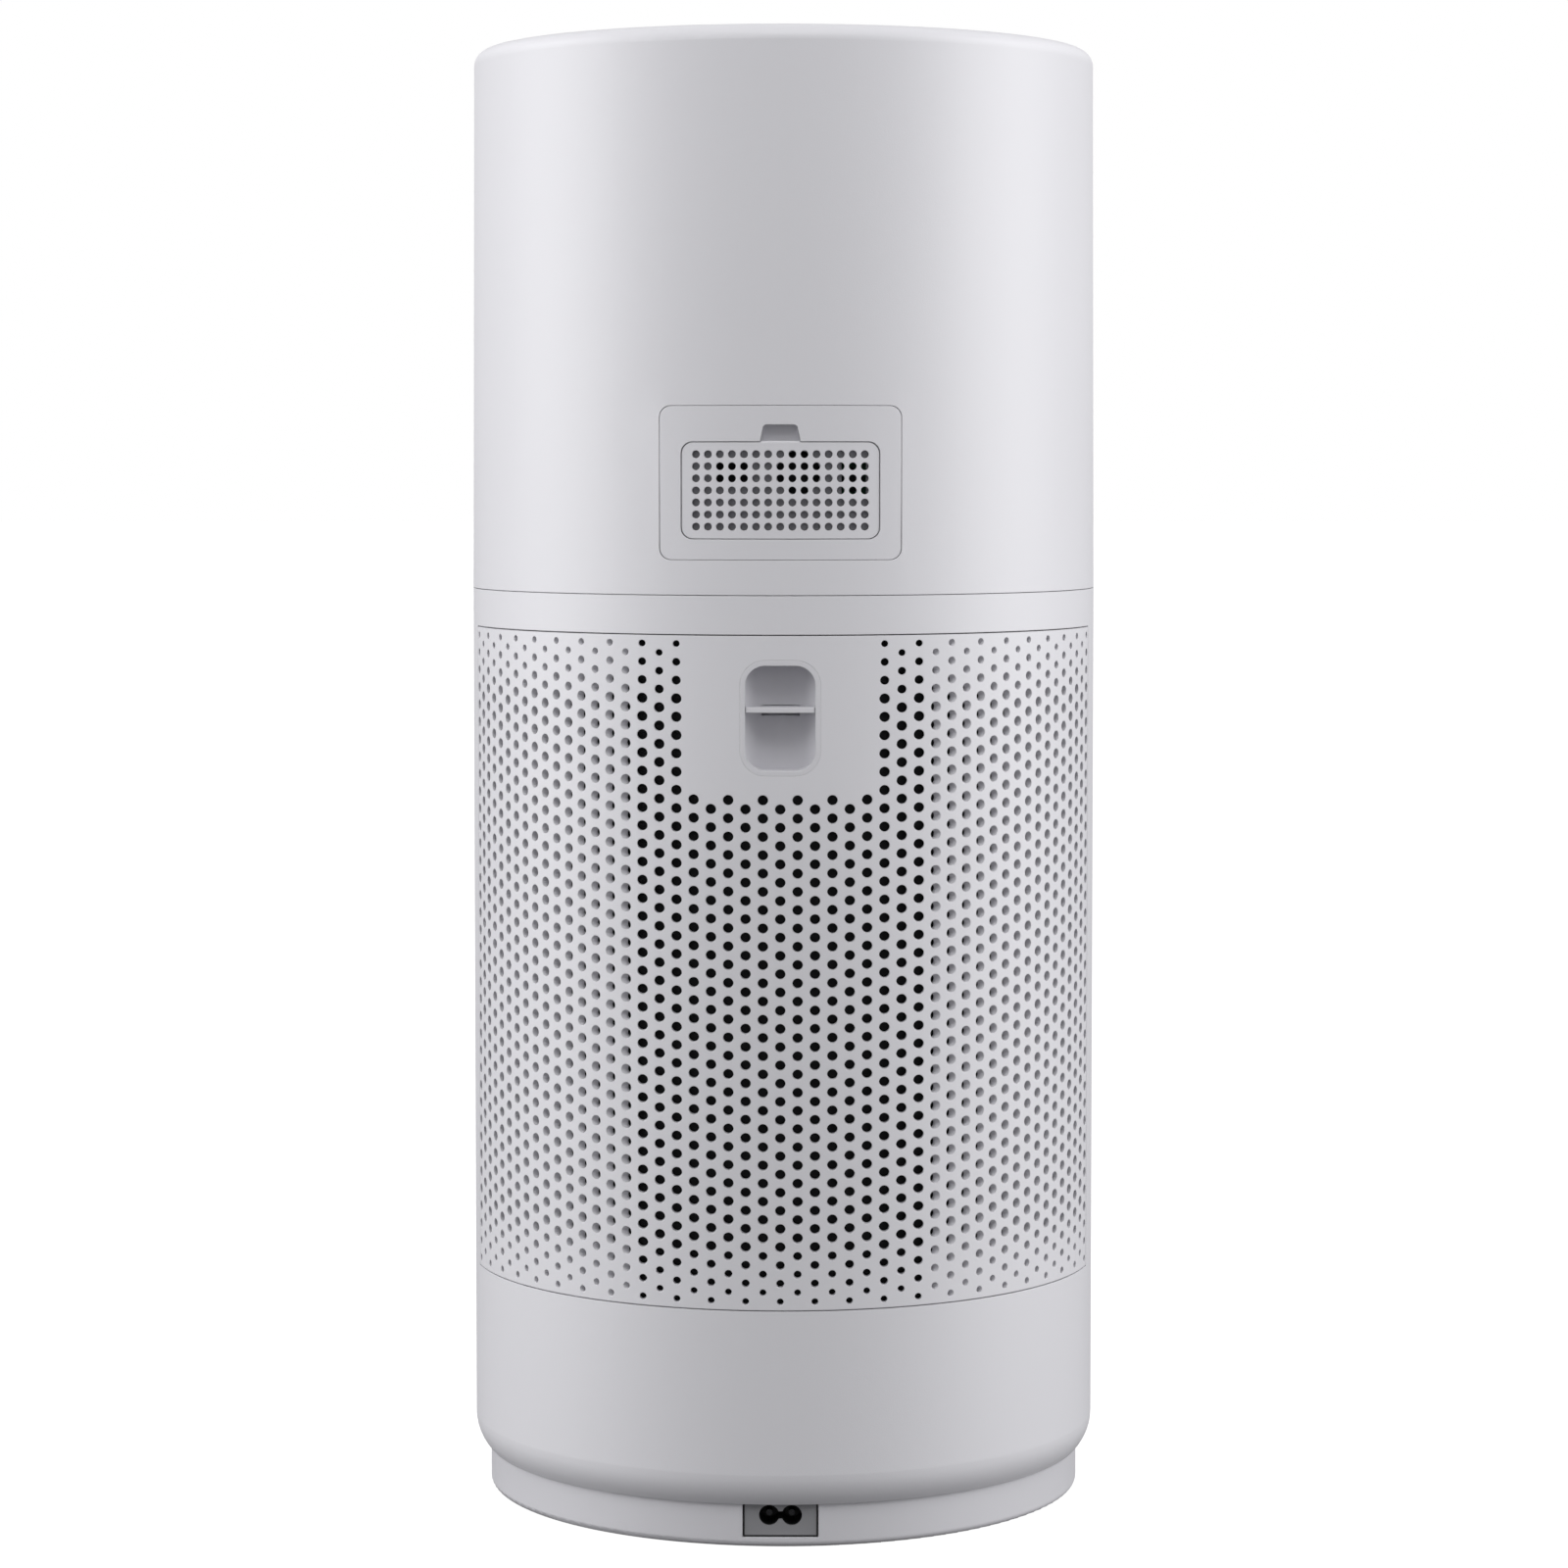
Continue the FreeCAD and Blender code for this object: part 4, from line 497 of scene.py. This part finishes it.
def makeGrille():
    # swept and leaning outlet fins between rings
    low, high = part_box("outlet_grille")
    outer = high[0]
    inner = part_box("control_panel")[1][0] + grilleShape["panelGap"]
    bottom, top = low[2], high[2]
    start = inner + grilleShape["ringWidth"] / 2
    end = outer - grilleShape["ringWidth"] / 2
    length = end - start
    finLow = bottom + grilleShape["lift"]
    sweepAside()
    bpy.ops.mesh.primitive_cube_add(size=1.0, location=((start + end) / 2, 0, (finLow + top) / 2))
    fin = bpy.context.object
    fin.scale = (length, grilleShape["thickness"], top - finLow - grilleShape["edge"])
    bpy.ops.object.transform_apply(location=True, rotation=True, scale=True)
    stations = grilleShape["stations"]
    for station in range(1, stations):
        pickFaces(fin, lambda face: True)
        bpy.ops.mesh.bisect(plane_co=(start + length * station / stations, 0, 0), plane_no=(1, 0, 0))
        bpy.ops.object.mode_set(mode="OBJECT")
    middle = (finLow + top) / 2
    for station in range(stations + 1):
        place = start + length * station / stations
        share = station / stations
        swing = math.radians(grilleShape["sweep"]) * share * share
        near = length / stations / 3
        for upper in (False, True):
            pickVertices(fin, lambda co: abs(math.hypot(co.x, co.y) - place) < near
                         and (co.z > middle) == upper)
            turn = swing + (math.radians(grilleShape["lean"]) if upper else 0.0)
            bpy.ops.transform.rotate(value=turn, orient_axis="Z", center_override=(0, 0, 0))
            bpy.ops.object.mode_set(mode="OBJECT")
    soften(fin, grilleShape["edge"])
    fins = [fin]
    for index in range(1, grilleShape["fins"]):
        twin = fin.copy()
        twin.data = fin.data.copy()
        twin.rotation_euler.z = math.tau * index / grilleShape["fins"]
        bpy.context.collection.objects.link(twin)
        fins.append(twin)
    height = top - bottom
    centre = (0, 0, (top + bottom) / 2)
    reach = grilleShape["ringWidth"]
    half = grilleShape["middleRing"] / 2
    between = (inner + outer) / 2
    edge = grilleShape["edge"]
    middlePlace = (0, 0, finLow + height * grilleShape["middleRise"])
    rings = [addRing(centre, inner, inner + reach, height, edge, grilleShape["innerSides"]),
             addRing(centre, outer - reach, outer, height, edge, grilleShape["outerSides"]),
             addRing(middlePlace, between - half, between + half, height * grilleShape["middleHeight"],
                     edge, grilleShape["middleSides"])]
    sweepAside()
    for piece in fins:
        piece.select_set(True)
    bpy.context.view_layer.objects.active = fin
    bpy.ops.object.transform_apply(location=False, rotation=True, scale=False)
    settle(joinAll("outletGrille", fins + rings), "fanPlastic", "cabinet", "outlet_grille")


footShape = {"count": 4, "radius": 0.009, "recess": 0.0007, "rim": 0.0026, "edge": 0.0005, "edgeSteps": 3,
             "sides": 48}


def makeFeet():
    # rubber feet with a hollow under each
    low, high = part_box("rubber_feet")
    circleRadius = high[0] - footShape["radius"]
    height = high[2] - low[2]
    feet = []
    for index in range(footShape["count"]):
        angle = math.tau * index / footShape["count"]
        place = (circleRadius * math.cos(angle), circleRadius * math.sin(angle), (low[2] + high[2]) / 2)
        sweepAside()
        bpy.ops.mesh.primitive_cylinder_add(vertices=footShape["sides"], radius=footShape["radius"],
                                            depth=height, location=place)
        foot = bpy.context.object
        bpy.ops.object.transform_apply(location=True, rotation=True, scale=True)
        pickFaces(foot, lambda face: face.normal.z < -0.9)  # the sole
        bpy.ops.mesh.inset(thickness=footShape["rim"])
        bpy.ops.transform.translate(value=(0, 0, footShape["recess"]))
        bpy.ops.mesh.inset(thickness=footShape["rim"] / 2)
        bpy.ops.transform.translate(value=(0, 0, -footShape["recess"] / 2))
        bpy.ops.object.mode_set(mode="OBJECT")
        soften(foot, footShape["edge"], footShape["edgeSteps"])
        feet.append(foot)
    settle(joinAll("rubberFeet", feet), "rubber", "cabinet", "rubber_feet")


symbolShape = {"radius": 0.0023, "stroke": 0.0005, "height": 0.00016, "edge": 0.00005, "sides": 48}
# the rest are shares of the sign's radius
powerShape = {"gapWide": 0.75, "gapDeep": 1.1, "rise": 0.62, "length": 0.95}
modeShape = {"hoop": 0.42, "reach": 0.72, "turns": (90, 210, 330)}
speedShape = {"bars": 3, "step": 0.7, "rise": 0.28, "shortest": 0.7, "growth": 0.56}
timerShape = {"handRise": 0.28, "handLength": 0.62, "sideShift": 0.2, "sideLength": 0.5}


def symbolBase(key):
    low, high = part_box(key)
    return ((low[0] + high[0]) / 2, (low[1] + high[1]) / 2, high[2])


def makeKeySymbols():
    # generic printed signs on the four keys
    radius = symbolShape["radius"]
    stroke = symbolShape["stroke"]
    height = symbolShape["height"]
    edge = symbolShape["edge"]

    def stick(base, aside, along, length, turned=0.0):
        centre = (base[0] + aside, base[1] + along, base[2] + height / 2)
        return addBar(centre, (stroke, length, height), turned, edge)

    def hoop(base, outer, aside=0.0, along=0.0):
        centre = (base[0] + aside, base[1] + along, base[2] + height / 2)
        return addRing(centre, outer - stroke, outer, height, edge, symbolShape["sides"])

    base = symbolBase("power_key")
    ring = hoop(base, radius)
    sweepAside()
    bpy.ops.mesh.primitive_cube_add(size=1.0, location=(base[0], base[1] + radius, base[2]))
    gap = bpy.context.object
    gap.scale = (radius * powerShape["gapWide"], radius * powerShape["gapDeep"], radius)
    bpy.ops.object.transform_apply(location=True, rotation=True, scale=True)
    opening = ring.modifiers.new("opening", "BOOLEAN")
    opening.operation = "DIFFERENCE"
    opening.object = gap
    applyAll(ring)
    bpy.data.objects.remove(gap, do_unlink=True)
    signs = {"power": [ring, stick(base, 0.0, radius * powerShape["rise"], radius * powerShape["length"])]}

    base = symbolBase("mode_key")
    petal = radius * modeShape["hoop"]
    reach = radius * modeShape["reach"]
    signs["mode"] = [hoop(base, petal)] + [
        hoop(base, petal, reach * math.cos(math.radians(turn)), reach * math.sin(math.radians(turn)))
        for turn in modeShape["turns"]]

    base = symbolBase("speed_key")
    signs["speed"] = [stick(base, (step - 1) * radius * speedShape["step"],
                            (step - 2) * radius * speedShape["rise"],
                            radius * (speedShape["shortest"] + speedShape["growth"] * step))
                      for step in range(speedShape["bars"])]

    base = symbolBase("timer_key")
    hand = stick(base, 0.0, radius * timerShape["handRise"], radius * timerShape["handLength"])
    sideHand = stick(base, radius * timerShape["sideShift"], 0.0, radius * timerShape["sideLength"], 90.0)
    signs["timer"] = [hoop(base, radius), hand, sideHand]

    for name, strokes in signs.items():
        settle(joinAll(name + "Sign", strokes), "signPaint", name + "_button")


displayShape = {"digits": 3, "digitHeight": 0.0100, "digitWidth": 0.0052, "stroke": 0.0010, "gap": 1.3,
                "spacing": 0.0085, "shift": 0.6, "height": 0.00012, "dots": 4, "dotSize": 0.0011,
                "dotHole": 0.0002, "dotInset": 0.011, "dotSides": 24}


def makeDisplay():
    # unlit seven-bar figures and indicator dots on the smoked window
    low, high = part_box("display_window")
    middleX, middleY, face = (low[0] + high[0]) / 2, (low[1] + high[1]) / 2, high[2]
    tall = displayShape["digitHeight"]
    wide = displayShape["digitWidth"]
    stroke = displayShape["stroke"]
    thick = displayShape["height"]
    spacing = displayShape["spacing"]
    lift = face + thick / 2
    across = (wide - stroke * displayShape["gap"], stroke, thick)
    upright = (stroke, tall / 2 - stroke * displayShape["gap"], thick)
    bars = []
    for digit in range(displayShape["digits"]):
        centreX = middleX + (digit - 1) * spacing - spacing * displayShape["shift"]
        for level in (-1, 0, 1):
            bars.append(addBar((centreX, middleY + level * tall / 2, lift), across, 0.0, thick / 3))
        for side in (-1, 1):
            for level in (-1, 1):
                place = (centreX + side * wide / 2, middleY + level * tall / 4, lift)
                bars.append(addBar(place, upright, 0.0, thick / 3))
    for dot in range(displayShape["dots"]):
        share = dot / (displayShape["dots"] - 1) - 0.5
        place = (high[0] - displayShape["dotInset"], middleY + share * tall, lift)
        bars.append(addRing(place, displayShape["dotHole"], displayShape["dotSize"], thick, thick / 4,
                            displayShape["dotSides"]))
    settle(joinAll("displayFigures", bars), "figurePaint", "cabinet")


makeGrille()
makeFeet()
makeKeySymbols()
makeDisplay()
print("new pieces made")


stageLook = {"floorSize": 60.0, "floorColour": (0.16, 0.16, 0.163), "floorGlow": 1.0, "sky": 0.43}
sideLight = {"power": 20.5, "reach": 1.5, "width": 1.3, "height": 1.6, "lift": 0.75, "behind": 0.2,
             "aim": 0.35}
frontLight = {"power": 16.0, "distance": 1.5, "lift": 2.1, "width": 1.2, "aim": 0.4}
cameraPlace = {"distance": 1.735, "aside": -0.0172, "height": 0.4123, "down": 3.0, "lens": 98.53,
               "shiftX": 0.0003, "shiftY": -0.0591}


def addFloor():
    bpy.ops.mesh.primitive_plane_add(size=stageLook["floorSize"], location=(0, 0, 0))
    floor = bpy.context.object
    floor.name = "studioFloor"
    graph = Graph("studioFloorPaint")
    graph.set(Base_Color=rgba(stageLook["floorColour"]), Roughness=0.9)
    graph.shader.inputs["Specular IOR Level"].default_value = 0.0
    graph.shader.inputs["Emission Color"].default_value = (1.0, 1.0, 1.0, 1.0)
    seen = graph.add("ShaderNodeLightPath")
    graph.feed(graph.shader.inputs["Emission Strength"], seen * stageLook["floorGlow"])
    floor.data.materials.append(graph.material)


def addAreaLight(name, power, place, target, width, height):
    data = bpy.data.lights.new(name, "AREA")
    data.shape = "RECTANGLE"
    data.energy = power
    data.size = width
    data.size_y = height
    lamp = bpy.data.objects.new(name, data)
    lamp.location = place
    lamp.rotation_euler = (Vector(target) - Vector(place)).to_track_quat("-Z", "Y").to_euler()
    bpy.context.scene.collection.objects.link(lamp)


def addSky():
    world = bpy.data.worlds.new("studioSky")
    bpy.context.scene.world = world
    world.use_nodes = True
    tree = world.node_tree
    background = tree.nodes["Background"]
    path = tree.nodes.new("ShaderNodeLightPath")
    strength = tree.nodes.new("ShaderNodeMapRange")
    strength.inputs["To Min"].default_value = stageLook["sky"]
    strength.inputs["To Max"].default_value = 1.0
    tree.links.new(path.outputs["Is Camera Ray"], strength.inputs["Value"])
    tree.links.new(strength.outputs["Result"], background.inputs["Strength"])
    background.inputs["Color"].default_value = (1.0, 1.0, 1.0, 1.0)


def addCamera():
    data = bpy.data.cameras.new("mainCamera")
    data.lens = cameraPlace["lens"]
    data.sensor_width = 36.0
    data.shift_x = cameraPlace["shiftX"]
    data.shift_y = cameraPlace["shiftY"]
    camera = bpy.data.objects.new("mainCamera", data)
    place = Vector((cameraPlace["aside"], cameraPlace["distance"], cameraPlace["height"]))
    flat = Vector((-place.x, -place.y, 0)).normalized()
    down = math.radians(cameraPlace["down"])
    look = flat * math.cos(down) - Vector((0, 0, math.sin(down)))
    camera.location = place
    camera.rotation_euler = look.to_track_quat("-Z", "Y").to_euler()
    bpy.context.scene.collection.objects.link(camera)
    bpy.context.scene.camera = camera


addFloor()
addSky()
for side, sideName in ((-1, "leftLight"), (1, "rightLight")):
    sidePlace = (side * sideLight["reach"], sideLight["behind"], sideLight["lift"])
    addAreaLight(sideName, sideLight["power"], sidePlace, (0, 0, sideLight["aim"]), sideLight["width"],
                 sideLight["height"])
addAreaLight("frontLight", frontLight["power"], (0, frontLight["distance"], frontLight["lift"]),
             (0, 0, frontLight["aim"]), frontLight["width"], frontLight["width"])
addCamera()
bpy.context.scene.view_settings.view_transform = "Standard"
print("stage ready")
